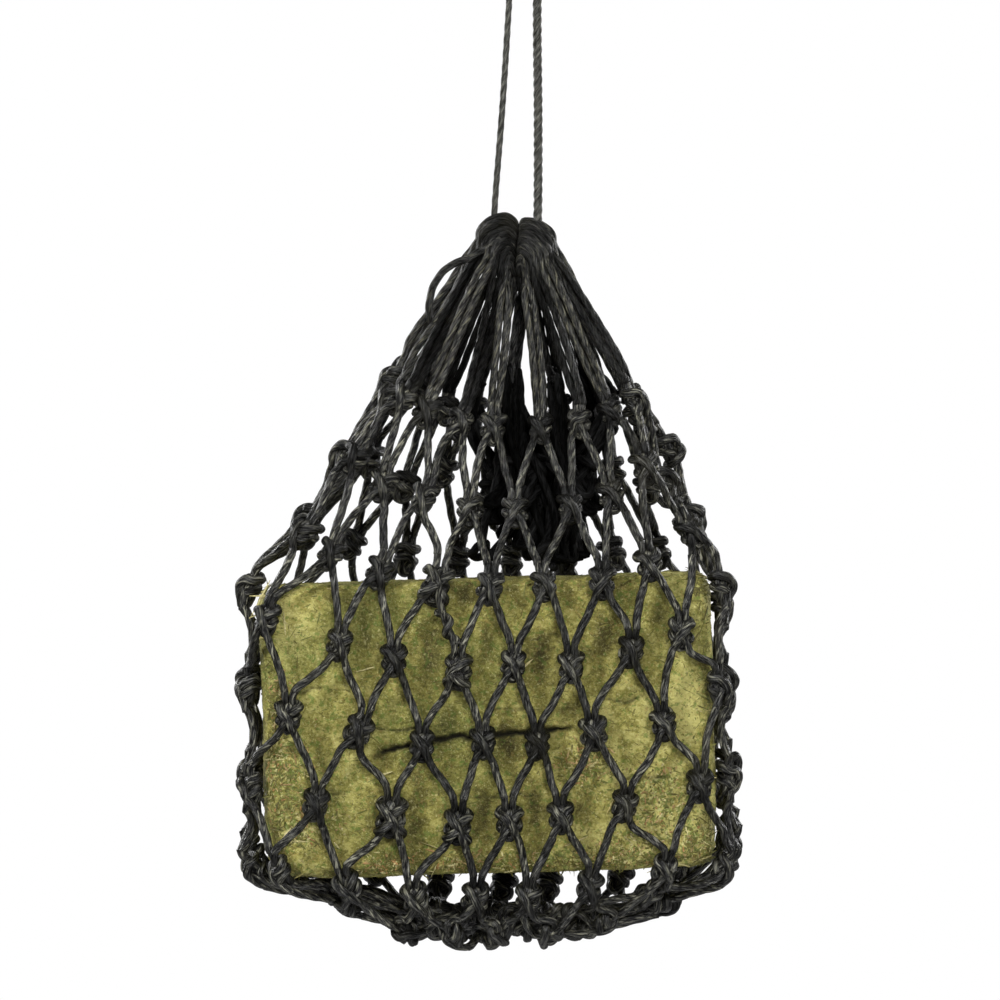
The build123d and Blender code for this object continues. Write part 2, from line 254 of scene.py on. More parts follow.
def spline(control, count):
    """Smooth, evenly spaced curves (curve, count, 3) through one or more lists of points."""
    points = np.asarray(control, float)
    if points.ndim == 2:
        points = points[None]
    spans = points.shape[1] - 1
    before, after = 2 * points[:, :1] - points[:, 1:2], 2 * points[:, -1:] - points[:, -2:-1]
    padded = np.concatenate([before, points, after], 1)
    t = np.linspace(0, 1, 14, endpoint=False)[None, None, :, None]
    p0, p1, p2, p3 = (padded[:, i:i + spans, None, :] for i in range(4))
    dense = 0.5 * (2 * p1 + (p2 - p0) * t + (2 * p0 - 5 * p1 + 4 * p2 - p3) * t ** 2
                   + (3 * p1 - p0 - 3 * p2 + p3) * t ** 3)
    dense = dense.reshape(len(points), -1, 3)
    return even(np.concatenate([dense, points[:, -1:]], 1), count)


def hermite(start, start_pull, end, end_pull, count):
    t = np.linspace(0, 1, count)[:, None]
    return ((2 * t**3 - 3 * t**2 + 1) * start + (t**3 - 2 * t**2 + t) * start_pull
            + (3 * t**2 - 2 * t**3) * end + (t**3 - t**2) * end_pull)


# ------------------------------------------------------------ meshes
def add_object(name, data):
    ob = bpy.data.objects.new(name, data)
    scene.collection.objects.link(ob)
    return ob


def build(name, verts, polygons, material, attributes, uv=None, smooth=True):
    """Makes a mesh object; polygons is a list of arrays, each of faces with equal sides."""
    mesh = bpy.data.meshes.new(name)
    loops = np.concatenate([faces.ravel() for faces in polygons])
    totals = np.concatenate([np.full(len(faces), faces.shape[1]) for faces in polygons])
    mesh.vertices.add(len(verts))
    mesh.vertices.foreach_set("co", np.asarray(verts, np.float32).ravel())
    mesh.loops.add(len(loops))
    mesh.loops.foreach_set("vertex_index", loops.astype(np.int32))
    mesh.polygons.add(len(totals))
    starts = np.concatenate([[0], np.cumsum(totals)[:-1]])
    mesh.polygons.foreach_set("loop_start", starts.astype(np.int32))
    mesh.polygons.foreach_set("use_smooth", np.full(len(totals), smooth))
    if uv is not None:
        layer = mesh.uv_layers.new(name="cord")
        layer.data.foreach_set("uv", np.asarray(uv, np.float32).ravel())
    for key, values in attributes.items():
        attribute = mesh.attributes.new(key, "FLOAT", "POINT")
        attribute.data.foreach_set("value", np.asarray(values, np.float32))
    mesh.update(calc_edges=True)
    mesh.validate()
    mesh.materials.append(material)
    return add_object(name, mesh)


def tube_quads(rings, closed=False):
    """Quads between neighbouring rings of vertex numbers (tube, ring, side)."""
    ahead = np.roll(rings, -1, 1)
    if not closed:
        rings, ahead = rings[:, :-1], ahead[:, :-1]
    corners = [rings, np.roll(rings, -1, 2), np.roll(ahead, -1, 2), ahead]
    return np.stack(corners, -1).reshape(-1, 4)


class Cords:
    """Collects twisted cords, and makes one mesh of them."""

    def __init__(self, seed):
        self.verts, self.tones, self.sides, self.caps = [], [], [], []
        self.count = 0
        self.rng = np.random.default_rng(seed)

    def add(self, paths, radius, sides=14, pitch=30.0, depth=0.06, taper=1.0, closed=False,
            shade=None):
        """Sweeps cords along paths (cord, point, 3). Radius and shade may vary along them;
        pitch is the length of one twist, depth the relief of the plies."""
        paths = np.asarray(paths, float)
        count, points = paths.shape[:2]
        if closed:
            heading = unit(np.roll(paths, -1, 1) - np.roll(paths, 1, 1))
        else:
            heading = unit(np.gradient(paths, axis=1))
        steep = np.abs(heading[:, 0, 2:3]) >= 0.9
        normal = np.where(steep, [1.0, 0, 0], [0, 0, 1.0])
        normals = np.empty_like(paths)
        # the first frame is squared up twice, once here and once in the loop
        for i in [0, *range(points)]:
            ahead = heading[:, i]
            normal = unit(normal - ahead * np.sum(normal * ahead, -1, keepdims=True))
            normals[:, i] = normal
        binormals = np.cross(heading, normals)

        along = lengths(paths)
        start = self.rng.uniform(0, 500, (count, 1))
        phase = self.rng.uniform(0, 2 * np.pi, (count, 1))
        rate = 1 / pitch
        if closed:
            # a whole number of plies has to meet itself
            whole = along[:, -1:] + np.linalg.norm(paths[:, :1] - paths[:, -1:], axis=2)
            rate = np.maximum(1, np.round(whole / pitch * PLIES)) / PLIES / whole
        twist = 2 * np.pi * along * rate + phase
        around = 2 * np.pi * np.arange(sides) / sides
        lobe = np.cos(PLIES * (around - twist[..., None]))
        profile = 1 + depth * (np.abs(lobe) ** 0.7 * np.sign(lobe)) - depth * 0.3
        reach = np.broadcast_to(radius, (count, points))[..., None] * profile
        rings = paths[:, :, None] + reach[..., None] * (
            np.cos(around)[:, None] * normals[:, :, None]
            + np.sin(around)[:, None] * binormals[:, :, None])
        if not closed:
            middle = paths[:, [0, -1], None]
            rings[:, [0, -1]] = middle + (rings[:, [0, -1]] - middle) * taper
        self.verts.append(rings.reshape(-1, 3))

        tone = self.rng.uniform(0, 1, count) if shade is None else np.asarray(shade, float)
        tone = np.broadcast_to(tone[:, None] if tone.ndim == 1 else tone, (count, points))
        self.tones.append(np.repeat(tone.reshape(-1), sides))

        ids = self.count + np.arange(count * points * sides).reshape(count, points, sides)
        self.count += ids.size

        def spans(values):
            """Value at the four corners of every quad between rings."""
            longer = np.concatenate([values, values[:, -1:] + np.diff(values[:, -2:])], 1)
            last = points if closed else points - 1
            here, ahead = longer[:, :last], longer[:, 1:last + 1]
            return np.stack([here, here, ahead, ahead], -1)[:, :, None]

        along = along + start
        share = np.arange(sides) / sides
        v = share[:, None] + np.array([0, 1, 1, 0]) / sides - spans(twist / (2 * np.pi))
        uv = np.stack(np.broadcast_arrays(spans(along), v), -1)
        self.sides.append((tube_quads(ids, closed), uv))
        if not closed:
            for end, faces in ((0, ids[:, 0, ::-1]), (-1, ids[:, -1])):
                uv = np.stack(np.broadcast_arrays(along[:, end, None], share), -1)
                self.caps.append((faces, uv))

    def mesh(self, name, material, place=hang):
        faces, uvs = zip(*self.sides, *self.caps)
        return build(name, place(np.concatenate(self.verts)), faces, material,
                     {"tone": np.concatenate(self.tones)},
                     np.concatenate([uv.reshape(-1, 2) for uv in uvs]))


def ride(piece, body="net", cad=None):
    """Fixes a piece to one body, in place of a CAD piece if one is named."""
    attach(piece, body)
    if cad:
        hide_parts(cad)


def blend(piece, slot, body, cad, start, end):
    """Bakes a piece's placement into its mesh and hides the CAD piece it replaces; slot, body,
    start and end are not used.
    """
    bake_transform(piece)
    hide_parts(cad)


# ------------------------------------------------------------ material tools
def lin(*rgb):
    """An 8-bit sRGB colour as linear RGBA."""
    parts = [c / 255 for c in rgb]
    return (*[c / 12.92 if c <= 0.04045 else ((c + 0.055) / 1.055) ** 2.4 for c in parts], 1.0)


class Shader:
    """A material; most methods add a node and return its output."""

    def __init__(self, name):
        self.material = bpy.data.materials.new(name)
        self.material.use_nodes = True
        self.tree = self.material.node_tree
        self.tree.nodes.clear()
        self.output = self.tree.nodes.new("ShaderNodeOutputMaterial")

    def node(self, kind, inputs={}, **settings):
        node = self.tree.nodes.new("ShaderNode" + kind)
        for key, value in settings.items():
            setattr(node, key, value)
        for key, value in inputs.items():
            if isinstance(value, bpy.types.NodeSocket):
                self.tree.links.new(value, node.inputs[key])
            else:
                node.inputs[key].default_value = value
        return node

    def math(self, operation, a, b=0.0):
        return self.node("Math", {0: a, 1: b}, operation=operation).outputs[0]

    def times(self, a, b):
        return self.math("MULTIPLY", a, b)

    def plus(self, a, b):
        return self.math("ADD", a, b)

    def mix(self, factor, a, b, blend_type="MIX"):
        return self.node("Mix", {0: factor, 6: a, 7: b}, data_type="RGBA",
                         blend_type=blend_type).outputs[2]

    def mix_values(self, factor, a, b):
        return self.node("Mix", {0: factor, 2: a, 3: b}).outputs[0]

    def ramp(self, factor, stops):
        node = self.node("ValToRGB", {0: factor})
        elements = node.color_ramp.elements
        while len(elements) < len(stops):
            elements.new(0.5)
        for element, (position, color) in zip(elements, stops):
            element.position = position
            element.color = color
        return node.outputs[0]

    def noise(self, vector, scale, detail=2.0, rough=0.5, distort=0.0):
        return self.node("TexNoise", {"Vector": vector, "Scale": scale, "Detail": detail,
                                      "Roughness": rough, "Distortion": distort}).outputs[0]

    def level(self, value, low, high, to=(0.0, 1.0)):
        """Eases a value's range low..high onto another range."""
        return self.node("MapRange", {0: value, 1: low, 2: high, 3: to[0], 4: to[1]},
                         interpolation_type="SMOOTHSTEP").outputs[0]

    def attribute(self, name):
        return self.node("Attribute", attribute_name=name).outputs["Fac"]

    def place(self):
        return self.node("TexCoord").outputs["Object"]

    def shift(self, vector, offset):
        return self.node("VectorMath", {0: vector, 1: offset}, operation="ADD").outputs[0]

    def split(self, vector):
        return self.node("SeparateXYZ", {0: vector}).outputs

    def join(self, x, y, z):
        return self.node("CombineXYZ", {0: x, 1: y, 2: z}).outputs[0]

    def bump(self, height, strength, distance):
        return self.node("Bump", {"Strength": strength, "Distance": distance,
                                  "Height": height}).outputs[0]

    def finish(self, node):
        self.tree.links.new(node.outputs[0], self.output.inputs[0])
        return self.material

    def surface(self, color, rough, normal, specular, sheen=None):
        """Finishes with a principled surface; sheen is weight, roughness, tint."""
        inputs = {"Base Color": color, "Roughness": rough, "Normal": normal,
                  "Specular IOR Level": specular}
        if sheen:
            inputs.update(zip(("Sheen Weight", "Sheen Roughness", "Sheen Tint"), sheen))
        return self.finish(self.node("BsdfPrincipled", inputs))


# ------------------------------------------------------------ cord materials
def cord_material(name, dark, mid, light, fleck, rough, dust, bump, gloss=1.0, flank_shade=0.8):
    """Twisted split-film twine: plies, fine filaments, pale flecks of painted highlight, hay
    dust, and painted shade in the grooves and down the flanks.
    The cord's UV map holds the distance along it in mm and the turn about its twisted axis."""
    m = Shader(name)
    dimmed = (*[c * 0.4 for c in dark[:3]], 1)
    black = (*[c * 0.3 for c in dark[:3]], 1)
    along, turn = m.split(m.node("UVMap", uv_map="cord").outputs[0])[:2]
    angle = m.times(turn, 2 * math.pi)
    tone = m.attribute("tone")
    # filaments lie a little across the plies
    skewed = m.plus(angle, m.times(along, 0.10))
    x, y = m.math("COSINE", skewed), m.math("SINE", skewed)

    def streaks(x, y, stretch, scale, detail, rough):
        return m.noise(m.join(x, y, m.times(along, stretch)), scale, detail, rough)

    filament = streaks(x, y, stretch=0.055, scale=5.5, detail=3.0, rough=0.6)
    worn = streaks(x, y, stretch=0.10, scale=2.3, detail=3.0, rough=0.6)
    slow = streaks(m.times(x, 0.3), m.times(y, 0.3), stretch=0.035, scale=2.0, detail=2.0,
                   rough=0.5)
    crown = m.level(m.math("COSINE", m.times(angle, float(PLIES))), -0.9, 0.9)
    patches = m.noise(m.place(), scale=34.0, detail=3.0, rough=0.6)

    color = m.mix(m.level(filament, 0.38, 0.66), dark, mid)
    # the pale flecks are a painted fibre highlight, brightest on the ply crowns
    pale = m.times(m.level(worn, 0.47, 0.66), m.plus(0.45, m.times(crown, 0.55)))
    pale = m.times(pale, m.level(slow, 0.30, 0.66, to=(0.45, 1.0)))
    pale = m.times(pale, m.level(tone, -0.5, 1.0, to=(0.10, 1.25)))
    color = m.mix(m.times(pale, fleck), color, light)
    # painted shade in the grooves between the plies
    color = m.mix(m.times(m.math("SUBTRACT", 1.0, crown), 0.5), color, dimmed)
    # a low tone darkens the cord: random from cord to cord, and painted shade where cords are
    # given a low tone for lying in shadow
    color = m.mix(m.level(tone, -0.5, 0.45, to=(0.85, 0.0)), color, dimmed)
    color = m.mix(m.times(m.level(patches, 0.52, 0.72), dust), color, lin(96, 92, 66))
    # painted shade: black down the flanks, where the cord's surface turns edge on to the view
    grazing_shade = m.node("LayerWeight", {"Blend": 0.5}).outputs["Facing"]
    color = m.mix(m.level(grazing_shade, 0.25, 0.85, to=(0.0, flank_shade)), color, black)

    roughness = m.plus(rough, m.times(m.math("SUBTRACT", filament, 0.5), 0.35))
    ribs = m.times(m.math("SINE", m.times(skewed, 13.0)), 0.16)
    height = m.plus(m.times(filament, 0.9), m.plus(m.times(worn, 0.8), ribs))
    specular = m.level(m.plus(m.times(filament, 0.5), m.times(worn, 0.5)), 0.38, 0.62,
                       to=(0.05 * gloss, 0.72 * gloss))
    specular = m.times(specular, m.level(grazing_shade, 0.2, 0.9, to=(1.0, 1.0 - flank_shade)))
    specular = m.times(specular, m.level(tone, -0.5, 0.25, to=(0.30, 1.0)))
    return m.surface(color, roughness, m.bump(height, strength=bump, distance=0.0011), specular,
                     sheen=(0.02, 0.5, lin(190, 186, 168)))


TWINE = cord_material("twine_black", lin(5, 5, 5), lin(16, 16, 15), lin(170, 168, 146),
                      fleck=0.62, rough=0.38, dust=0.06, bump=0.7)
TWINE_OLIVE = cord_material("twine_olive_worn", lin(4, 4, 3), lin(14, 14, 10),
                            lin(126, 122, 96), fleck=0.56, rough=0.42, dust=0.05, bump=0.7)
# a darker, duller copy of the twine: painted shade for the slack netting in the neck
TWINE_PAINTED_SHADE = cord_material("twine_shaded", lin(2, 2, 2), lin(5, 5, 5), lin(20, 19, 17),
                           fleck=0.2, rough=0.7, dust=0.0, bump=0.35, gloss=0.4)
DRAW = cord_material("draw_cord_grey", lin(28, 28, 24), lin(60, 60, 52), lin(122, 120, 106),
                     fleck=0.5, rough=0.44, dust=0.05, bump=0.5, flank_shade=0.45)


# ------------------------------------------------------------ the knots' frames
def diagonals(row, col):
    """Columns of the left and right neighbours of a knot, in the rows above and below."""
    return ((col - 1) % COLUMNS, col) if row % 2 == 0 else (col, (col + 1) % COLUMNS)


def on_ring(angle, lift=0.0):
    """A point of the base ring; angle 0 is its left end, a quarter turn its front."""
    return BASE_AT + np.stack([-BASE_RING_R * np.cos(angle), -BASE_RING_R * np.sin(angle),
                               lift + 0 * angle], -1)


def ring_point(col):
    return on_ring(2 * math.pi * (col + 0.2) / COLUMNS)


UP = np.zeros_like(KNOTS)
SIDE = np.zeros_like(KNOTS)
for row, col in np.ndindex(ROWS, COLUMNS):
    centre = KNOTS[row, col]
    left, right = diagonals(row, col)
    if row == 0:
        bunch = LEFT if col < 5 or col >= 15 else RIGHT
        high = np.array([bunch.x, 0, BUNCH_BOTTOM])
    else:
        high = (KNOTS[row - 1, left] + KNOTS[row - 1, right]) / 2
    if row == ROWS - 1:
        low = ring_point(col)
        sideways = KNOTS[row, (col + 1) % COLUMNS] - KNOTS[row, (col - 1) % COLUMNS]
    else:
        low = (KNOTS[row + 1, left] + KNOTS[row + 1, right]) / 2
        sideways = KNOTS[row + 1, right] - KNOTS[row + 1, left]
    up = unit(unit(high - centre) + unit(centre - low))
    UP[row, col] = up
    SIDE[row, col] = unit(sideways - up * np.dot(sideways, up))
OUT = np.cross(SIDE, UP)

# each knot is tied a little differently: turned, tilted, tighter or looser
rng = np.random.default_rng(7)
MIRROR = np.where(rng.uniform(size=(ROWS, COLUMNS)) < 0.16, -1.0, 1.0)
SIZE = rng.uniform(0.93, 1.08, (ROWS, COLUMNS))
SIZE[7:] *= 0.86
SIZE[0] *= 0.95
for place, size in {(5, 2): 1.28, (5, 3): 1.12, (2, 3): 1.24, (4, 2): 1.08, (1, 9): 1.12,
                    (3, 3): 1.1}.items():
    SIZE[place] = size
SPIN = rng.normal(0, 0.16, (ROWS, COLUMNS))
LEAN = rng.normal(0, 0.10, (ROWS, COLUMNS))
DOUBLED = SIZE > 1.085      # knots with a second tie

# A netting knot: sideways, outwards, up, in mm. Two cords come down between its cheeks, and
# the run from below crosses itself on the front.
BIGHT = np.array([
    (-1.9, 0.9, 10.6), (-1.9, 0.5, 7.2), (-2.2, -0.3, 3.6), (-3.0, -1.0, 0.0),
    (-3.3, -1.4, -3.2), (-1.9, -1.6, -6.0), (0.0, -1.7, -6.9), (1.9, -1.6, -6.0),
    (3.3, -1.4, -3.2), (3.0, -1.0, 0.0), (2.2, -0.3, 3.6), (1.9, 0.5, 7.2), (1.9, 0.9, 10.6)])
WRAP = np.array([
    (-5.6, 0.0, -10.4), (-4.1, 0.5, -7.6), (-2.5, 1.3, -4.9), (-0.6, 2.0, -2.2),
    (1.7, 2.5, 0.2), (3.8, 2.3, 2.0), (5.0, 0.3, 3.4), (4.1, -2.3, 4.6), (1.5, -3.5, 4.9),
    (-1.5, -3.5, 4.7), (-4.1, -2.2, 4.2), (-5.0, 0.5, 3.6), (-4.0, 3.0, 2.9),
    (-1.8, 4.8, 1.2), (0.8, 5.0, -1.6), (2.7, 3.5, -4.8), (4.2, 1.7, -7.6), (5.6, 0.4, -10.4)])
GIRTH = np.array([
    (-4.2, 1.6, -3.6), (-4.6, -0.8, -2.0), (-3.2, -3.2, -0.6), (0.0, -4.0, 0.2),
    (3.3, -3.0, 0.2), (4.7, -0.6, -0.8), (4.4, 1.6, -2.4), (3.0, 2.6, -3.6)])
CORE = [(0, 0, 5.5), (0.2, 0.2, 0), (0, -0.2, -5.0)]
CORE_R = np.array([1.5, 2.4, 3.0, 3.3, 3.5, 3.5, 3.5, 3.5, 3.3, 3.0, 2.2, 1.2])


def to_net(row, col, local):
    """Local knot coordinates to the net frame, with this knot's own spin and lean."""
    x, y, z = (np.asarray(local, float) * [0.93, 0.96, 1.12] * SIZE[row, col]).T
    x, y = rotate(x * MIRROR[row, col], y, SPIN[row, col])
    x, z = rotate(x, z, LEAN[row, col])
    axes = np.stack([SIDE[row, col], OUT[row, col], UP[row, col]])
    return KNOTS[row, col] + np.stack([x, y, z], -1) @ axes


def end_index(row, col, side):
    """Which end of a knot's cord lies on a side (-1 left, 1 right)."""
    return 0 if side * MIRROR[row, col] < 0 else -1


def aim(row, col, side, cord, goal, stiffness):
    """Swings the end of a knot's cord towards a goal; returns the end and its direction."""
    last, inner = to_net(row, col, cord if end_index(row, col, side) == 0 else cord[::-1])[:2]
    outward = unit(unit(last - inner) * stiffness + unit(goal - inner))
    return inner + outward * np.linalg.norm(last - inner), outward


def exit_of(row, col, side):
    """Where a leg leaves a knot downwards, and its direction there."""
    if row < ROWS - 1:
        below = row + 1, diagonals(row, col)[(side + 1) // 2]
        goal = KNOTS[below] + UP[below] * 10 * SIZE[below] - side * SIDE[below] * 1.8
    else:
        goal = ring_point(col + side * 0.22)
    return aim(row, col, side, WRAP, goal, stiffness=1.0)


def entry_of(row, col, side):
    """Where a leg from above enters a knot, and its direction going in."""
    if row == 0:
        cord = BIGHT if end_index(row, col, side) == 0 else BIGHT[::-1]
        first, second = to_net(row, col, cord)[:2]
        return first, unit(second - first)
    above = row - 1, diagonals(row, col)[(side + 1) // 2]
    goal = KNOTS[above] - UP[above] * 9 * SIZE[above] - side * SIDE[above] * 5.0
    last, outward = aim(row, col, side, BIGHT, goal, stiffness=1.2)
    return last, -outward


# ------------------------------------------------------------ knots
def squeezed(count, ends, swell, rise):
    """Radii along a cord that is thicker inside the knot."""
    middle = np.sin(np.pi * np.linspace(0, 1, count)) * rise - 0.5
    return TWINE_R * (ends + swell * np.clip(middle, 0, 1))


for row in range(ROWS):
    cords = Cords(100 + row)
    bights, wraps = [], []
    for col in range(COLUMNS):
        bight_jitter = rng.normal(0, 0.28, BIGHT.shape)
        wrap_jitter = rng.normal(0, 0.32, WRAP.shape)
        for jitter in (bight_jitter, wrap_jitter):
            jitter[[0, 1, -1, -2]] = 0
        bight = to_net(row, col, BIGHT + bight_jitter)
        wrap = to_net(row, col, WRAP + wrap_jitter)
        for side in (-1, 1):
            end = end_index(row, col, side)
            bight[end] = entry_of(row, col, side)[0]
            wrap[end] = exit_of(row, col, side)[0]
        bights.append(bight)
        wraps.append(wrap)
    # knots are set to a darker tone than the open twine; the low ones are thinner
    knot_tone = np.random.default_rng(900 + row).uniform(-0.25, 0.66, (2, COLUMNS))
    pressed = 0.94 if row >= 7 else 1
    cords.add(spline(bights, 44), squeezed(44, ends=0.90, swell=0.16, rise=1.6) * pressed,
              shade=knot_tone[0])
    cords.add(spline(wraps, 96), squeezed(96, ends=0.94, swell=0.20, rise=2.2) * pressed,
              shade=knot_tone[1])
    girths = [to_net(row, col, GIRTH + rng.normal(0, 0.3, GIRTH.shape))
              for col in range(COLUMNS)]
    cords.add(spline(girths, 50), TWINE_R * 1.04, sides=12, taper=0.5)
    cords.add(spline([to_net(row, col, CORE) for col in range(COLUMNS)], 12), CORE_R,
              sides=12, taper=0.4)
    for col in np.flatnonzero(DOUBLED[row]):
        tie = WRAP[3:15] * [1.04, 1.06, -0.8] + [0.4, 0.4, -3.0]
        cords.add(spline(to_net(row, col, tie), 60), TWINE_R * 1.1, taper=0.6)
    ride(cords.mesh(f"twine_knots_row_{row + 1}", TWINE), cad=f"knots_row_{row + 1}")

# ------------------------------------------------------------ legs between knots
LEG_POINTS = 36
t = np.linspace(0, 1, LEG_POINTS)
hump = (np.sin(np.pi * t) ** 2)[:, None]
for row in range(ROWS - 1):
    cords = Cords(200 + row)
    legs = []
    for col in range(COLUMNS):
        for low_col, side in zip(diagonals(row, col), (-1, 1)):
            start, leaving = exit_of(row, col, side)
            end, arriving = entry_of(row + 1, low_col, -side)
            # the twine is stiff: it keeps each knot's direction, and straightens between
            pull = np.linalg.norm(end - start) * (0.62 + rng.uniform(-0.12, 0.2))
            leg = hermite(start - leaving, leaving * pull, end + arriving, arriving * pull,
                          LEG_POINTS)
            outward = unit(OUT[row, col] + OUT[row + 1, low_col])
            sag = rng.normal(0, 0.5) - (0.9 if 3 <= row <= 5 else 0.0)
            leg = leg + hump * outward * sag + hump * SIDE[row, col] * rng.normal(0, 0.5)
            if 3 <= row <= 6:
                # at the ends of the block the twine lies against the hay between its knots
                x = net_to_hay(leg)[:, 0]
                free = np.clip(np.abs(x) - HALF_W - 2.1, 0, 3.6)
                leg[:, 0] -= np.sign(x) * free * 0.9 * np.sin(np.pi * t) ** 0.8
            legs.append(leg)
    legs = even(np.array(legs), LEG_POINTS)
    cords.add(legs, TWINE_R * rng.uniform(0.92, 1.04, (len(legs), 1)))
    if row == 2:
        # the right leg below the doubled knot has a second cord wound round it
        leg = legs[2 * 3 + 1]
        heading = unit(np.gradient(leg, axis=0))
        side = unit(np.cross(heading, OUT[2, 3]))
        angle = (2 * np.pi * 1.6 * t)[:, None]
        wound = leg + (np.cos(angle) * side + np.sin(angle) * np.cross(heading, side)) * 2.3
        cords.add(even(wound[None], 60), TWINE_R * 0.9)
    ride(cords.mesh(f"twine_mesh_row_{row + 1}", TWINE), cad=f"mesh_row_{row + 1}")

# ------------------------------------------------------------ base
cords = Cords(300)
legs = []
for col in range(COLUMNS):
    inward = unit((BASE_AT - ring_point(col)) * [1, 1, 0])
    for side in (-1, 1):
        start, leaving = exit_of(ROWS - 1, col, side)
        end = ring_point(col + side * 0.22) + [0, 0, 1.8 * side]
        pull = np.linalg.norm(end - start) * 0.6
        leaving = unit(leaving * 0.5 + unit(end - start))
        legs.append(hermite(start - leaving, leaving * pull, end + inward * 1.5,
                            inward * pull, 22))
cords.add(even(np.array(legs), 22), TWINE_R * 0.88, sides=12)
ride(cords.mesh("twine_base_loops", TWINE), cad="base_loops")

angle = np.linspace(0, 2 * np.pi, 110, endpoint=False)
cords = Cords(301)
cords.add(on_ring(angle, lift=0.7 * np.sin(3 * angle))[None], 2.05, sides=16, pitch=13.0,
          closed=True)
ride(cords.mesh("cord_base_ring", DRAW), cad="base_ring")

# a coil round the ring's front, along x
centre = BASE_AT + [2, -BASE_RING_R, 0]
t = np.linspace(0, 1, 90)
angle = 2 * np.pi * 2.5 * t
coil = centre + np.stack([10 * t - 5.0, 3.2 * np.cos(angle), 3.2 * np.sin(angle)], -1)
cords = Cords(302)
cords.add(coil[None], 1.85, pitch=12.0, taper=0.5)
through = centre + np.array([(-6.5, 0.5, 0), (-2, -1, 0.6), (2, 1, -0.6), (6.5, -0.3, 0)])
cords.add(spline(through, 30), 1.9, pitch=12.0, taper=0.5)
ride(cords.mesh("cord_base_ring_knot", DRAW), cad="base_ring_knot")

# ------------------------------------------------------------ the mouth
# Each loop's two cords run up side by side from their knot, over the dome of their bunch, and
# dive into the crease between the bunches, like parted hair.
DOME_A, DOME_B = 8.0, 11.4      # half width and half depth of a dome
CREASE_LOW = 225.0


def seam(y):
    """Sideways wander of the crease."""
    return 1.1 * math.cos(y / 3.0)


def over_dome(bunch, facing, share, shrink=1.0, swing=0.0, lift=0.0):
    """The part of a cord on the dome, from the crease to the shoulder. Facing is -1 for the
    front; share runs from 0 near the crease to 1 at the outer side."""
    sign = bunch.sign
    angle = math.radians(36 + 144 * share + swing)
    sink = (1 - shrink) * 7
    # height where this cord dives in; the last ones pass right over the top
    dive = CREASE_LOW + (bunch.top - 4.6 - CREASE_LOW) * share ** 0.8
    y = 7.6 - 5.2 * share
    crease = [(sign * 3.4 + seam(1.0), facing * (2.4 - 1.4 * share), dive - 7.0 - sink),
              (sign * 1.9 + seam(3.0), facing * (4.8 - 3.2 * share), dive - 4.0 - sink),
              (sign * 1.5 + seam(y), facing * y, dive - 0.8 - sink)]
    start = np.array([sign * 2.2 + seam(9.3), facing * (9.3 - 7.0 * share)])
    shoulder = np.array([bunch.x - math.cos(angle) * sign * DOME_A * shrink * 1.04,
                         math.sin(angle) * facing * DOME_B * shrink * 1.04])
    crest = min(bunch.top - 2.0, dive + 2.6) - sink
    low = dive - 7.5 - 3.0 * share - sink
    arc = np.array([0.12, 0.36, 0.60, 0.82, 1.0]) * math.pi / 2
    level = start + (shoulder - start) * np.sin(arc)[:, None] ** 1.15
    z = low + (crest - low) * np.cos(arc) ** 0.8
    z[0] = crest - 0.3
    return np.vstack([crease, np.column_stack([level, z + lift * np.sin(2 * arc)])])


def fan(bunch, columns, facing):
    """Cords of the loops of one half bunch; columns run from the middle outwards."""
    sign = bunch.sign
    last = 2 * len(columns) - 1
    out = []
    # per loop: its offset in depth, and how far an outer loop is pulled in
    for i, (col, depth, tight) in enumerate(zip(columns, (1.0, -6.5, 2.0, -7.0, 0.5),
                                                (0, 0, 0, 1.5, 4.6))):
        ends = sorted([entry_of(0, col, side) for side in (-1, 1)],
                      key=lambda entry: sign * entry[0][0])
        drift = rng.normal(0, 1.0, 3) * [1, 0.4, 0] + [0, facing * depth, 0]
        roll = rng.uniform(-0.55, 0.55)
        foot = (ends[0][0] + ends[1][0]) / 2
        head = over_dome(bunch, facing, (2 * i + 0.5) / last)[-1]
        run = unit(foot - head)
        across = unit(np.cross(run, [0, facing, 0]))
        across = across if across[0] * sign > 0 else -across
        normal = unit(np.cross(across, run))
        for j, (end, going_in) in enumerate(ends):
            share = (2 * i + j) / last
            points = list(over_dome(bunch, facing, share, swing=rng.normal(0, 4),
                                    lift=rng.normal(0, 0.35)))
            bulge = np.array([sign * (1.2 * share - tight), facing * 1.6, 0]) * 0.8
            for t in (0.14, 0.36, 0.60, 0.84):
                arch = math.sin(math.pi * t)
                angle = roll * arch + 0.25
                apart = across * math.cos(angle) + normal * math.sin(angle)
                points.append(head + (foot - head) * t
                              + apart * (1.92 + 0.12 * arch) * (j * 2 - 1)
                              + bulge * math.sin(math.pi * min(1, t * 1.3)) + drift * arch)
            points += [end - going_in, end + going_in * 2.0]
            out.append(spline(points, 130)[0])
    return out


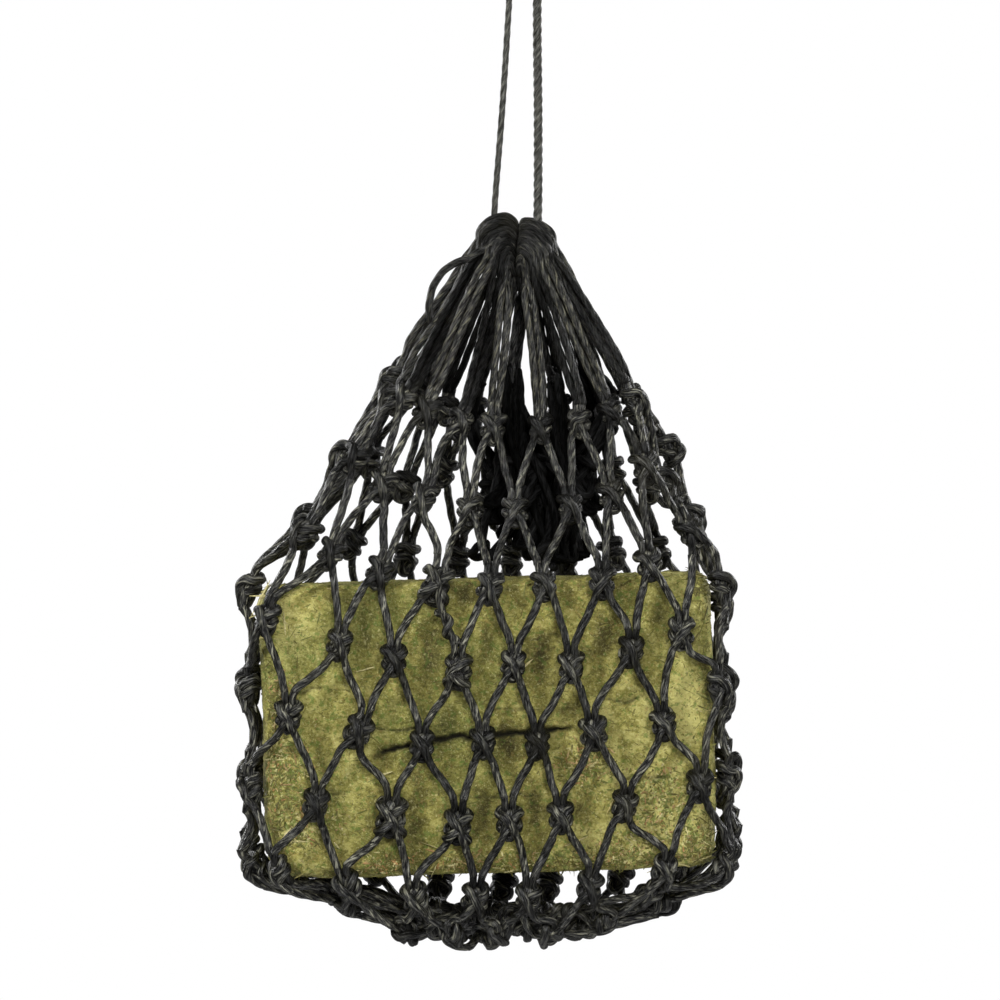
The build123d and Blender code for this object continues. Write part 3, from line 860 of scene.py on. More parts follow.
def heart(bunch):
    """Inner cords that fill the dome under the outer ones."""
    out = []
    for facing in (-1.0, 1.0):
        for i in range(12):
            share = (i + 0.5) / 12
            points = list(over_dome(bunch, facing, share, shrink=0.86,
                                    swing=rng.normal(0, 3), lift=rng.normal(0, 0.3)))
            x, y, _ = points[-1]
            points.append([bunch.x + (x - bunch.x) * 0.85, y * 0.9, 236.0 - 2 * share])
            points.append([bunch.x + (x - bunch.x) * 0.80, y * 0.80, 231.0])
            out.append(spline(points, 70)[0])
    # a few that stay together in the middle and thin out below
    sign = bunch.sign
    for y, low in ((-5.4, 211), (-2.4, 206), (1.0, 209), (4.2, 207), (7.0, 212)):
        wander = seam(y)
        out.append(spline([
            (sign * 3.0, y, 231), (sign * 1.75 + wander, y, 226),
            (sign * 1.65 + wander * 0.9, y * 0.95, 220),
            (sign * 2.0 + wander * 0.5, y * 0.9, (low + 219) / 2),
            (sign * 3.2, y * 0.8, low), (sign * 5.0, y * 0.7, low - 9)], 70)[0])
    return out


# one slack cord stands away from the left side
STRAY = [(-8, -9, 240), (-17, -10, 235), (-24.5, -10, 230.5), (-33.0, -9, 227.0),
         (-40.0, -8, 220), (-43.6, -7, 210), (-43.4, -6, 200), (-41.0, -4, 191),
         (-42.5, -2, 182), (-47.5, 0, 172)]
# tone of each loop, front then back; painted shade makes the deeper front loops and the back
# loops darker
LOOP_TONES_WITH_SHADE = np.repeat([0.75, -0.25, 0.8, -0.35, 0.6, -0.1, -0.3, 0.0, -0.3, 0.3], 2)[:, None]

# bunch, front and back columns, seed, seed and upper limit of the tones on the dome
for bunch, front, rear, seed, crest_seed, crest_high in (
        (LEFT, [4, 3, 2, 1, 0], [15, 16, 17, 18, 19], 400, 77, -0.12),
        (RIGHT, [5, 6, 7, 8, 9], [14, 13, 12, 11, 10], 401, 78, 0.35)):
    body = "mouth_" + bunch.side
    mouth_span = [0, 0, 165.0], [0, 0, 243.0]
    cords = Cords(seed)
    paths = np.array(fan(bunch, front, -1.0) + fan(bunch, rear, 1.0))
    t = np.linspace(0, 1, 130)
    radius = ((1.96 - 0.55 * np.exp(-(t / 0.24) ** 2))
              * rng.uniform(0.94, 1.07, (len(paths), 1)))
    tone = LOOP_TONES_WITH_SHADE + rng.uniform(-0.25, 0.25, (len(paths), 1))
    # paler on the runs, near black over the dome, the left bunch more than the right
    crest = np.random.default_rng(crest_seed).uniform(-0.55, crest_high, (len(paths), 1))
    cords.add(paths, radius, shade=tone + (crest - tone) * np.exp(-(t / 0.26) ** 4) * 0.95)
    if bunch is LEFT:
        cords.add(spline(STRAY, 110), 1.9)
    blend(cords.mesh("twine_mouth_loops_" + bunch.side, TWINE_OLIVE), "twine", body,
          "mouth_loops_" + bunch.side, *mouth_span)
    cords = Cords(seed + 10)
    paths = heart(bunch)
    # the inner cords get low tones: painted shade under the outer ones
    cords.add(paths, 1.55, sides=12, taper=0.2, shade=rng.uniform(-0.45, 0.1, len(paths)))
    blend(cords.mesh("twine_mouth_bunch_" + bunch.side, TWINE_OLIVE), "twine", body,
          "mouth_bunch_" + bunch.side, *mouth_span)

# ------------------------------------------------------------ spare netting
# A fold of slack mesh hangs inside the neck from the back of row 1, and doubles back on itself.
SPARE_POINTS = 170


def tuck(end, z):
    """Catches an end up among the cords of the mouth, at height z."""
    return np.array([end[0] * 0.80 + rng.uniform(-1.5, 1.5), 1.0 + rng.uniform(-4, 4), z])


drops = []      # column it hangs from, side of that knot, and the lowest point
for i in range(34):
    x = -14 + 54 * ((i * 0.618) % 1.0)
    col = int(rng.choice([14, 13, 12, 15] if x < 8 else [14, 13, 12, 11]))
    side = rng.uniform(-1, 1)
    z = 77 + 34 * ((i * 0.37) % 1.0) ** 1.5 + abs(x - 13) * 0.25
    drops.append((col, side, np.array([x, rng.uniform(-12, 13), z])))
folds = []
for i, (col, side, low) in enumerate(drops):
    start = KNOTS[0, col] * [1, 1, 0] + [side * 2.0, -4.5, rng.uniform(146, 166)]
    other = KNOTS[0, drops[(i * 5 + 3) % len(drops)][0]] * [1, 1, 0]
    end = other + [rng.uniform(-3, 3), -5.0, rng.uniform(146, 166)]
    if i % 3 == 0:
        end = np.array([rng.uniform(-6, 32), rng.uniform(-5, 5), rng.uniform(126, 160)])
    jitter = rng.normal(0, 1.6, (4, 3))
    first, last = tuck(start, rng.uniform(166, 179)), tuck(end, rng.uniform(164, 177))
    folds.append(spline([
        first, start, start * 0.66 + low * 0.34 + jitter[0] + [0, -2, 0],
        start * 0.3 + low * 0.7 + jitter[1] + [-3, 0, 0], low + [-3, 0, 1.5], low,
        low + [3, 0.5, 1.5], end * 0.3 + low * 0.7 + jitter[2] + [3, 0, 0],
        end * 0.66 + low * 0.34 + jitter[3] + [0, -2, 0], end, last], SPARE_POINTS)[0])
t = np.linspace(0, 1, SPARE_POINTS)
thin = np.clip(np.minimum(t, 1 - t) / 0.05, 0.0, 1.0) ** 0.6
cords = Cords(450)
# the slack lies in the neck's shade; its dark material and low tones paint that shade
cords.add(folds, 0.5 + 1.5 * thin, sides=12, taper=0.1, shade=rng.uniform(-0.5, 0.4, len(folds)))
ties = []       # its knots
for fold in folds[:26]:
    i = int(rng.uniform(0.2, 0.8) * SPARE_POINTS)
    centre = fold[i] + rng.normal(0, 1.0, 3)
    up = unit(fold[min(i + 3, SPARE_POINTS - 1)] - fold[i - 3])
    up = up if up[2] > 0 else -up
    side = unit(np.cross(up, [rng.uniform(-0.6, 0.6), 1, 0]))
    local = WRAP[2:17] * 0.9 + rng.normal(0, 0.25, (15, 3))
    ties.append(centre + local @ np.stack([side, np.cross(side, up), up]))
cords.add(spline(ties, 80), 2.15, sides=12, taper=0.5)
ride(cords.mesh("twine_spare_netting", TWINE_PAINTED_SHADE), cad="spare_netting")

# ------------------------------------------------------------ the draw cord
upper = np.array([0, 0, -KNOT_PIVOT_DROP])      # turns of the hanging knot, in the row frame
lower = upper - [0, 0, LOWER_TURN_DROP]

# strands from the bunches up to the hanging knot
for bunch, seed, radius, pitch, depth, bow in ((LEFT, 500, 1.6, 20.0, 0.055, 0.6),
                                               (RIGHT, 501, 2.2, 15.0, 0.085, -0.3)):
    x = bunch.sign * 4.4
    top = unhang(lower + [x * 0.8, 0.0, -1.0])
    near = unhang(lower + [x, 0.0, -9.5])
    foot = np.array([bunch.x, 0.0, bunch.top + 1.0])
    inside = np.array([bunch.x * 0.9, 0.0, bunch.top - 7.0])
    middle = (near + foot) / 2 + [bow, 0.4, 0]
    points = [inside, foot, foot + (middle - foot) * 0.5 + [0.3, 0, 0], middle, near, top]
    cords = Cords(seed)
    cords.add(spline(points, 230), radius, sides=18, pitch=pitch, depth=depth)
    name = "draw_strand_" + bunch.side
    ride(cords.mesh("cord_" + name, DRAW), "strand_" + bunch.side, name)

# the bend inside each bunch, from the middle outwards and up
for bunch in (LEFT, RIGHT):
    x = bunch.x
    cords = Cords(510 + bunch.sign)
    cords.add(spline([(-0.5 * bunch.sign, 0, DRAW_Z), (x * 0.5, 0, DRAW_Z - 0.3),
                      (x * 0.9, 0, DRAW_Z), (x, 0, DRAW_Z + 3.0), (x, 0, DRAW_Z + 7.5)], 50),
              2.0, sides=16, pitch=11.5)
    blend(cords.mesh("cord_draw_bend_" + bunch.side, DRAW), "draw_cord",
          "mouth_" + bunch.side, "draw_cord_bend", [0, 0, DRAW_Z], [x * 0.8, 0, DRAW_Z])

# hanging eye: one loop of the cord, closed into the knot below it
angle = np.linspace(math.radians(-90 + 14), math.radians(270 - 14), 120)
EYE_R = EYE_BORE_R + CORD_R - 0.05
eye = np.stack([EYE_R * np.cos(angle), 0.25 * np.sin(3 * angle), EYE_R * np.sin(angle)], -1)
right_lead = spline([(1.9, 0.3, -29.5), (2.2, 0.2, -25.5), (3.0, 0.1, -22.0), eye[0]], 14)[0]
left_lead = spline([eye[-1], (-3.0, 0.1, -22.0), (-2.2, -0.2, -25.5), (-1.9, -0.3, -29.5)],
                   14)[0]
path = np.concatenate([right_lead[:-1], eye, left_lead[1:]])
cords = Cords(520)
cords.add(even(path[None], 150), 2.05, sides=18, pitch=11.5)
ride(cords.mesh("cord_hanging_eye", DRAW, row_place), "hanger", "hanging_eye")


def knot_turn(level, centre, seed, standing, points, half, turns, radius, slant, phase):
    """Coils wound round two standing cords, fuller in the middle. Standing is one of those
    cords, relative to the centre; the other is it turned half round."""
    t = np.linspace(0, 1, 130)
    angle = 2 * np.pi * turns * t + phase
    z = (1 - 2 * t) * half
    reach = radius * np.sqrt(np.clip(1 - (z / (half * 1.55)) ** 2, 0.2, 1))
    x = reach * np.cos(angle)
    coil = np.stack([x, reach * np.sin(angle), z + x * slant], -1) + centre
    cords = Cords(seed)
    cords.add(coil[None], 2.0, sides=16, pitch=11.0, taper=0.5)
    for sign in (1, -1):
        cords.add(spline(centre + np.array(standing) * [sign, sign, 1], points), 1.9, pitch=11)
    ride(cords.mesh(f"cord_knot_{level}_turn", DRAW, row_place),
         f"knot_{level}", f"knot_{level}_turn")


knot_turn("upper", upper, 530, points=30, half=4.9, turns=2.6, radius=5.0, slant=0.16, phase=0.4,
          standing=[(-1.8, -0.4, 7.0), (-1.7, 0.2, 0), (-1.3, 0.4, -6.0), (-1.2, 0.3, -9.0)])
knot_turn("lower", lower, 531, points=24, half=4.3, turns=2.3, radius=4.8, slant=-0.2, phase=2.0,
          standing=[(-1.2, 0.3, 10.5), (-1.8, 0, 0), (-3.0, 0, -6.5)])

# two tails: points from the lower turn, count along it, and the direction of its cut end
TAILS = (
    ([(-0.5, -3.6, 3.7), (-1.5, -8.2, 3.4), (-2.4, -12.6, -4), (-4.2, -16.6, -19),
      (-5.4, -19.4, -31), (-6.0, -22.0, -40)], 60, np.array([-0.06, -0.28, -0.95])),
    ([(0.5, 3.6, 3.7), (1.5, 8.2, 3.4), (2.2, 12.4, -4), (3.6, 16.0, -17),
      (5.0, 20.0, -33)], 52, np.array([0.08, 0.27, -0.95])))
cords = Cords(532)
for points, count, _ in TAILS:
    cords.add(spline(lower + np.array(points), count), 1.95, sides=16, pitch=11.0)
# loose plies at the cut ends
for points, _, onward in TAILS:
    end = lower + points[-1]
    for i in range(3):
        off = np.array([math.cos(2.1 * i), math.sin(2.1 * i), 0])
        cords.add(spline([end + off * 0.8 - onward * 2, end + off * 1.1 + onward * 1.2,
                          end + off * 1.5 + onward * 3.2], 12), 0.95, sides=10, pitch=6,
                  taper=0.6)
ride(cords.mesh("cord_tails_cut", DRAW, row_place), "knot_lower", "cord_tails")

# ------------------------------------------------------------ the hay's shape
# where the cords run, for the hollows they press
cord_points = []
for ob in scene.objects:
    if ob.name.startswith(("twine_knots_row", "twine_mesh_row")):
        coords = np.zeros(len(ob.data.vertices) * 3, np.float32)
        ob.data.vertices.foreach_get("co", coords)
        cord_points.append(coords.reshape(-1, 3)[::37].astype(float) * 1000)
cord_points = net_to_hay(unhang(np.concatenate(cord_points)))
cord_tree = KDTree(len(cord_points))
for i, point in enumerate(cord_points):
    cord_tree.insert(point, i)
cord_tree.balance()

# cracks: x, z points in the block's own plane, half width, depth, face (-1 front, 1 back)
CRACKS = [
    ([(-58, -12.5), (-50, -10.5), (-40, -8.5), (-31, -8.0), (-22, -5.2), (-11, -4.6),
      (-3, -5.2), (8, -4.0), (18, -3.2), (31, -2.4), (44, -1.8)], 1.15, 4.2, -1),
    ([(-66, 1.5), (-52, -0.5), (-40, -1.2), (-28, 0.2)], 0.6, 1.4, -1),
    ([(-4, 9.5), (6, 7.5), (18, 7.8), (30, 5.5)], 0.6, 1.2, -1),
    ([(52, 12), (66, 10.5), (80, 12.5)], 0.6, 1.3, -1),
    ([(-104, 22), (-90, 20), (-76, 21.5)], 0.6, 1.2, -1),
    ([(-20, -34), (-4, -36), (14, -34), (28, -35.5)], 0.6, 1.4, -1),
    ([(60, -26), (74, -29), (92, -27)], 0.7, 1.6, -1),
    ([(-98, -30), (-84, -33), (-70, -31)], 0.7, 1.6, -1),
    ([(10, 44), (26, 43), (44, 45.5)], 0.5, 1.0, -1),
    ([(-88, 44), (-70, 46), (-58, 44.5)], 0.5, 1.0, -1),
    ([(-80, 5), (-50, 8), (-20, 5), (10, 9), (40, 6), (70, 8)], 1.1, 3.8, 1),
    ([(-60, -30), (-30, -27), (0, -31), (35, -28)], 0.8, 2.0, 1),
    ([(-20, 38), (15, 35), (50, 38)], 0.6, 1.4, 1),
]
# Spots in the net frame: x, z, half width, half height, strength.
# dents in the block, their darkening a painted shadow of the twine
DENTS_AND_SHADOWS = [
    (-43.2, 33.5, 5, 15, .6), (-14.2, 42.5, 4.5, 11, .5), (11.9, 33.5, 6, 12.5, .7),
    (41, 41, 6.5, 12.5, .6), (71.5, 53.5, 5, 15, .6), (-72.5, 42.5, 7, 17, .35),
    (-2.7, -9.5, 6, 9, .6), (24, 6, 7, 7, .45), (60.8, 26, 1.8, 6, .5), (-17.2, -43, 4, 15, .6),
    (8.8, -43, 5, 14, .55), (32.5, -40, 6, 11, .45), (-25, 64, 6, 5, .5), (4, 61, 5, 6, .3),
    (-96, -20, 6, 10, .3), (-66, -15.5, 5, 6, .3), (-34, -3.5, 6, 7, .4), (-51, -51, 4, 12, .4),
    (56, -12, 6, 10, .25), (-90, 62, 8, 4, .3), (22, -20, 5, 8, .3)]
# where the surface is crumbly
CRUMBS = np.array([
    (-117, -24, 12, 17, 1), (-106, -50, 16, 12, 1), (70, -36, 16, 16, 1), (86, -60, 16, 12, 1),
    (-24, -72, 14, 7, 1), (20, -71, 40, 7, 1), (-62, -72, 18, 6, 1), (52, -66, 16, 7, 1),
    (33, -22, 12, 9, 1), (-118, 8, 5, 12, 1)], float)
BACK_SHIFT = np.array([-16.0, 0, 3.0])      # carries the front's spots, mirrored, to the back


def crack_field(points):
    """Depth in mm of the cracks at each point, and the painted shade in them."""
    x, y, z = points.T
    depth = np.zeros(len(points))
    dark = np.zeros(len(points))
    wander = fbm(points * [0.13, 0.02, 0.13], 71, 4, gain=0.62) * 2.6
    widen = np.clip(0.7 + 0.6 * (fbm(points * 0.16, 77, 2) + 0.4), 0.35, 1.6)
    for line, half, deep, face in CRACKS:
        line_x, line_z = np.array(line, float).T
        away = z - np.interp(x, line_x, line_z) - wander
        ends = np.clip(np.minimum(x - line_x[0], line_x[-1] - x) / 7.0, 0, 1)
        on_face = (y * face > HALF_D - 9) * ends
        core = np.exp(-(away / (half * widen)) ** 2) * on_face
        shade_halo = np.exp(-(away / (half * 2.6)) ** 2) * on_face
        depth = np.maximum(depth, deep * core)
        shade = core * min(1.0, 0.45 + deep * 0.16) + 0.22 * shade_halo * min(1, deep / 3)
        dark = np.maximum(dark, np.clip(shade, 0, 1))
    return depth, dark


def spots(points, table, sharp=1.0):
    """Strength, 0 to 1, of the strongest spot at each point."""
    out = np.zeros(len(points))
    wander = 2.2 * fbm(points * 0.07, 91, 2)
    for x, z, half_width, half_height, strength in table:
        away = (((points[:, 0] + wander - x) / half_width) ** 2
                + ((points[:, 2] + wander - z) / half_height) ** 2)
        out = np.maximum(out, strength * np.exp(-away ** sharp))
    return out


def hay_surface(box):
    """Carries points of the sharp box, in the block's frame, to the hay's surface.
    Returns the points, their outward normals and the fields kept on the mesh."""
    low = np.clip((-box[:, 2] - HALF_H * 0.45) / (HALF_H * 0.55), 0, 1)
    side = np.clip((np.abs(box[:, 0]) - HALF_W * 0.72) / (HALF_W * 0.28), 0, 1)
    worn = low * side
    rounding = 8.5 + 3.5 * fbm(box * 0.03, 5, 2) + 5.0 * worn
    rounding = np.clip(rounding, 4, 17)[:, None]
    half = HAY_HALF - 0.8
    inner = np.clip(box, -(half - rounding), half - rounding)
    normals = unit(box * (half / HAY_HALF) - inner)
    points = inner + normals * rounding
    edge = 1 - np.max(np.abs(normals), axis=1)
    push = 0.8 * fbm(points * 0.022, 11, 3) + 0.45 * fbm(points * 0.085, 12, 3)
    # pressed stalks lie mostly level, in layers
    layers = fbm(points * [0.07, 0.07, 0.42], 13, 3)
    push += 0.38 * layers + 0.28 * fbm((points + 40) * [0.13, 0.13, 0.75], 14, 2)
    push += 0.26 * fbm(points * 0.55, 15, 2)
    push += edge * (1.2 + 3.0 * low) * fbm(points * 0.16, 16, 3) * 2.0 - edge * 0.5
    push -= worn * (1.2 + 2.6 * np.clip(fbm(points * 0.10, 19, 3) + 0.2, 0, 1))
    # hollows under the twine, fullness between
    gap = np.array([cord_tree.find(point)[2] for point in points])
    near = np.clip(1 - (gap - 3.0) / 6.0, 0, 1)
    near = near * near * (3 - 2 * near)
    push += 0.2 * np.clip((gap - 9) / 8, 0, 1) - 0.45 * near
    crack, dark = crack_field(points)
    push -= crack
    # dents and crumbs on the front, and the same kind of wear on the back
    spot_at = hay_to_net(points)
    spot_at = np.where(points[:, 1:2] > HALF_D * 0.6, spot_at * [-1.0, 1, 1] + BACK_SHIFT,
                       spot_at)
    flat = np.abs(normals[:, 1])
    dent_and_shadow = spots(spot_at, DENTS_AND_SHADOWS) * flat
    crumb = np.maximum(spots(spot_at, CRUMBS, sharp=1.6) * np.clip(flat * 1.3, 0, 1), worn)
    crumb = np.maximum(crumb, 0.8 * np.clip(edge * 2.2, 0, 1) * (0.35 + 0.65 * low))
    push -= 1.8 * dent_and_shadow
    push += 0.5 * flat * fbm(spot_at * [0.05, 0.02, 0.018], 33, 2)
    push += crumb * (0.9 * fbm(points * 0.34, 17, 3) + 0.5 * fbm(points * 0.8, 18, 2))
    fields = {"dark": dark, "near": near, "edge": edge, "corner": crumb, "lay": layers,
              "dent_and_shadow": dent_and_shadow}
    return points + normals * push[:, None], normals, fields


def box_grid(*stations):
    """Points and quads of a box surface, from its stations along x, y and z."""
    points, quads = [], []
    base = 0
    for axis, others in ((0, [1, 2]), (1, [0, 2]), (2, [0, 1])):
        across = np.meshgrid(*[stations[other] for other in others], indexing="ij")
        ids = np.arange(across[0].size).reshape(across[0].shape)
        for end in (0, -1):
            sheet = np.zeros(ids.shape + (3,))
            sheet[..., others] = np.stack(across, -1)
            sheet[..., axis] = stations[axis][end]
            faces = np.stack([ids[:-1, :-1], ids[1:, :-1], ids[1:, 1:], ids[:-1, 1:]], -1)
            faces = faces.reshape(-1, 4) + base
            if (end == -1) == (axis == 1):
                faces = faces[:, ::-1]
            points.append(sheet.reshape(-1, 3))
            quads.append(faces)
            base += ids.size
    points = np.concatenate(points)
    keys = np.round(points * 1000).astype(np.int64)
    _, first, merged = np.unique(keys, axis=0, return_index=True, return_inverse=True)
    return points[first], merged.reshape(-1)[np.concatenate(quads)]


# ------------------------------------------------------------ hay materials
def hay_material():
    m = Shader("pressed_hay")
    place = m.place()
    x, y, z = m.split(place)

    def fibre(degrees, along, across, layer):
        """Streaks that lie at an angle in the x-z plane."""
        c, s = math.cos(math.radians(degrees)), math.sin(math.radians(degrees))
        u = m.plus(m.plus(m.times(x, c), m.times(z, s)), m.times(y, 0.6 * c))
        v = m.plus(m.plus(m.times(x, -s), m.times(z, c)), m.times(y, 0.35))
        return m.noise(m.join(m.times(u, along), m.times(v, across), layer), scale=1.0,
                       detail=3.0, rough=0.62, distort=0.25)

    level_fibres = m.mix_values(
        m.level(m.noise(place, scale=150.0, rough=0.6), 0.44, 0.54),
        fibre(4, along=90, across=760, layer=3.1), fibre(-28, along=110, across=820, layer=9.4))
    steep_fibres = m.mix_values(
        m.level(m.noise(place, scale=210.0, rough=0.6), 0.46, 0.56),
        fibre(47, along=120, across=900, layer=15.2),
        fibre(88, along=120, across=780, layer=21.9))
    fibres = m.mix_values(m.level(m.noise(place, scale=120.0, detail=1.0), 0.52, 0.62),
                          level_fibres, steep_fibres)
    grain = m.noise(place, scale=760.0, detail=4.0, rough=0.7)
    fine_grain = m.noise(m.shift(place, (3.1, 1.2, 0.4)), scale=1500.0, rough=0.6)
    patch = m.noise(place, scale=70.0, detail=4.0, rough=0.6)
    mottle = m.noise(place, scale=280.0, detail=3.0, rough=0.62)
    tone = m.plus(m.times(m.attribute("tone"), 0.70),
                  m.times(m.level(patch, 0.28, 0.72), 0.13))
    tone = m.plus(tone, m.times(m.level(mottle, 0.32, 0.68), 0.20))
    color = m.ramp(tone, [(0.08, lin(52, 46, 18)), (0.28, lin(84, 78, 34)),
                          (0.42, lin(112, 106, 50)), (0.56, lin(138, 132, 66)),
                          (0.74, lin(172, 165, 98))])
    color = m.mix(m.level(m.attribute("green"), 0.45, 0.95, to=(0.0, 0.45)), color,
                  lin(98, 106, 47))
    color = m.mix(m.times(m.level(fibres, 0.30, 0.47, to=(1.0, 0.0)), 0.34), color,
                  lin(56, 51, 23))
    color = m.mix(m.times(m.level(fibres, 0.52, 0.70), 0.34), color, lin(174, 167, 100))

    # ochre, green and pale scraps, more of them where the surface crumbles
    more = m.times(m.attribute("corner"), 0.09)
    ochre = m.plus(m.noise(place, scale=430.0, rough=0.6), more)
    green = m.plus(m.noise(m.shift(place, (0.7, 0.3, 0.9)), scale=380.0, rough=0.6), more)
    pale = m.plus(m.noise(m.shift(place, (1.7, 2.3, 0.2)), scale=560.0, rough=0.6), more)
    # field, its range, mixing strength over that range, colour
    for field, low, high, strength, tint in (
            (grain, 0.53, 0.68, (0.0, 0.50), (192, 186, 124)),
            (grain, 0.32, 0.47, (0.58, 0.0), (46, 41, 17)),
            (fine_grain, 0.55, 0.70, (0.0, 0.30), (196, 190, 130)),
            (ochre, 0.60, 0.70, (0.0, 0.36), (158, 132, 78)),
            (green, 0.57, 0.65, (0.0, 0.55), (88, 112, 46)),
            (pale, 0.61, 0.72, (0.0, 0.45), (204, 197, 138))):
        color = m.mix(m.level(field, low, high, to=strength), color, lin(*tint))
    # painted shade and shadow: darker in the dents, and next to the twine
    color = m.mix(m.times(m.attribute("dent_and_shadow"), 0.62), color, lin(50, 45, 17))
    color = m.mix(m.times(m.attribute("near"), 0.30), color, lin(50, 46, 18))
    # more contrast between the pale and the dark scraps, then painted shade in the cracks
    color = m.node("Gamma", {0: color, 1: 1.16}).outputs[0]
    color = m.mix(1.0, color, (1.31, 1.33, 1.57, 1.0), "MULTIPLY")
    color = m.mix(m.attribute("dark"), color, lin(14, 11, 4))
    height = m.plus(m.times(fibres, 0.6), m.times(grain, 1.0))
    rough = m.plus(0.78, m.times(m.math("SUBTRACT", grain, 0.5), 0.3))
    return m.surface(color, rough, m.bump(height, strength=0.8, distance=0.0012),
                     specular=0.25, sheen=(0.1, 0.6, lin(210, 205, 140)))


def stalk_material():
    m = Shader("loose_stalks")
    tone = m.attribute("tone")
    grain = m.noise(m.place(), scale=900.0, rough=0.6)
    color = m.ramp(tone, [(0.0, lin(58, 53, 22)), (0.22, lin(92, 87, 37)),
                          (0.45, lin(124, 118, 54)), (0.62, lin(96, 106, 46)),
                          (0.78, lin(156, 147, 84)), (0.92, lin(206, 196, 140)),
                          (1.0, lin(158, 118, 68))])
    color = m.mix(m.level(grain, 0.35, 0.65, to=(0.45, 0.0)), color, lin(70, 64, 28))
    along = m.join(m.times(m.attribute("along"), 1.2), tone, 0.0)
    bands = m.noise(along, scale=9.0, detail=1.0)
    color = m.mix(m.level(bands, 0.5, 0.75, to=(0.0, 0.35)), color, lin(90, 82, 36))
    return m.surface(color, 0.62, m.bump(grain, strength=0.4, distance=0.0004), specular=0.35)


# ------------------------------------------------------------ the block
step = 1.25
xs = np.linspace(-HALF_W, HALF_W, int(2 * HALF_W / step) + 1)
ys = np.linspace(-HALF_D, HALF_D, int(2 * HALF_D / (step * 1.2)) + 1)
zs = np.linspace(-HALF_H, HALF_H, int(2 * HALF_H / step) + 1)
# a closer grid where the long crack runs
density = 1 + 1.6 * np.exp(-((zs + 5) / 9.0) ** 2)
total = np.concatenate([[0], np.cumsum((density[1:] + density[:-1]) / 2)])
zs = np.interp(np.linspace(0, total[-1], int(len(zs) * 1.2)), total, zs)
box_points, box_quads = box_grid(xs, ys, zs)
points, _, fields = hay_surface(box_points)
net_points = hay_to_net(points)
x, y, z = net_points.T
tone = (0.55 + 0.22 * fbm(points * [0.030, 0.03, 0.018], 21, 3)
        + 0.14 * fbm(points * [0.10, 0.09, 0.06], 22, 3))
# paler at the left end; painted shade along the top and in the dents
tone += 0.14 * np.exp(-((x + 112) / 18) ** 2) - 0.16 * np.clip((z - 58) / 9, 0, 1) * (x < 60)
tone -= 0.62 * fields["dent_and_shadow"]
# a flat pale piece at the right of the front
tone += 0.30 * np.exp(-(((x - 82) / 9.5) ** 2 + ((z - 6) / 19) ** 2) ** 3) * (y < 0)
tone += 0.17 * np.exp(-((x - 82) / 36) ** 2) * (y < 0)
green = 0.5 + 0.8 * fbm(points * [0.018, 0.02, 0.03] + 9, 23, 3)
hay = build("hay_block_pressed", hang(net_points), [box_quads], hay_material(),
            {"dark": fields["dark"], "near": fields["near"], "tone": tone, "green": green,
             **fields})
ride(hay, cad="hay_block")

# ------------------------------------------------------------ stalks
STALK = stalk_material()


def stalks(name, seed, centres, headings, normals, length, width, tones, bend):
    """Flattened stalks, each a bent four-sided strip, in the block's frame."""
    rng = np.random.default_rng(seed)
    count, rings = len(centres), 6
    t = np.linspace(-0.5, 0.5, rings)
    headings, normals = unit(headings), unit(normals)
    side = unit(np.cross(normals, headings))
    rise = bend[:, None] * (t ** 2 - 0.08)
    sway = rng.normal(0, 0.06, count)[:, None] * np.sin(2.5 * t) * length[:, None]
    side, normals = side[:, None], normals[:, None]
    middle = (centres[:, None] + headings[:, None] * (t[:, None] * length[:, None, None])
              + normals * rise[..., None] + side * sway[..., None])
    wide = (width[:, None] * [0.35, 0.85, 1, 1, 0.8, 0.3])[..., None]
    thick = wide * 0.38
    twist = rng.normal(0, 0.5, count)[:, None] + rng.normal(0, 0.8, count)[:, None] * t
    c, s = np.cos(twist)[..., None], np.sin(twist)[..., None]
    flat = (side * c + normals * s) * wide / 2
    tall = (normals * c - side * s) * thick / 2
    verts = np.stack([middle + flat, middle + tall, middle - flat, middle - tall], 2)
    ids = np.arange(count * rings * 4).reshape(count, rings, 4)
    ob = build(name, hang(hay_to_net(verts.reshape(-1, 3))),
               [tube_quads(ids), ids[:, 0, ::-1], ids[:, -1]], STALK,
               {"tone": np.repeat(tones, rings * 4),
                "along": np.tile(np.repeat(t + 0.5, 4), count)}, smooth=False)
    ride(ob)


rng = np.random.default_rng(41)

# stalks pressed into the faces
count = 7000
area = np.repeat([HALF_W * HALF_H, HALF_D * HALF_H, HALF_W * HALF_D], 2)
face = rng.choice(6, count, p=area / area.sum())
spread = rng.uniform(-1, 1, (count, 2))
box = np.zeros((count, 3))
for i, (axis, sign) in enumerate(((1, -1), (1, 1), (0, -1), (0, 1), (2, 1), (2, -1))):
    on_face = face == i
    others = [other for other in range(3) if other != axis]
    box[on_face, axis] = sign * HAY_HALF[axis]
    box[np.ix_(on_face, others)] = spread[on_face] * HAY_HALF[others]
points, normals, fields = hay_surface(box)
angle = rng.normal(0, 0.55, count)
angle = (angle + (rng.uniform(size=count) < 0.3) * rng.uniform(-1.5, 1.5, count))[:, None]
level = unit(np.cross(normals, [0, 0.35, 1.0]))
headings = (level * np.cos(angle) + np.cross(normals, level) * np.sin(angle)
            + normals * rng.normal(0, 0.035, count)[:, None])
keep = fields["dark"] < 0.35
length = rng.gamma(2.6, 1.1, count).clip(1.2, 7.5)
width = rng.uniform(0.35, 0.85, count)
tones = 0.26 + 0.5 * rng.beta(2.0, 2.6, count)
pale = rng.uniform(size=count) < 0.02
tones[pale] = rng.uniform(0.76, 0.93, pale.sum())
length[pale] *= 0.7
centres = points + normals * rng.uniform(-0.15, 0.12, count)[:, None]
stalks("hay_face_stalks", 43, centres[keep], headings[keep], normals[keep], length[keep],
       width[keep], tones[keep], bend=rng.normal(0, 0.5, count)[keep])


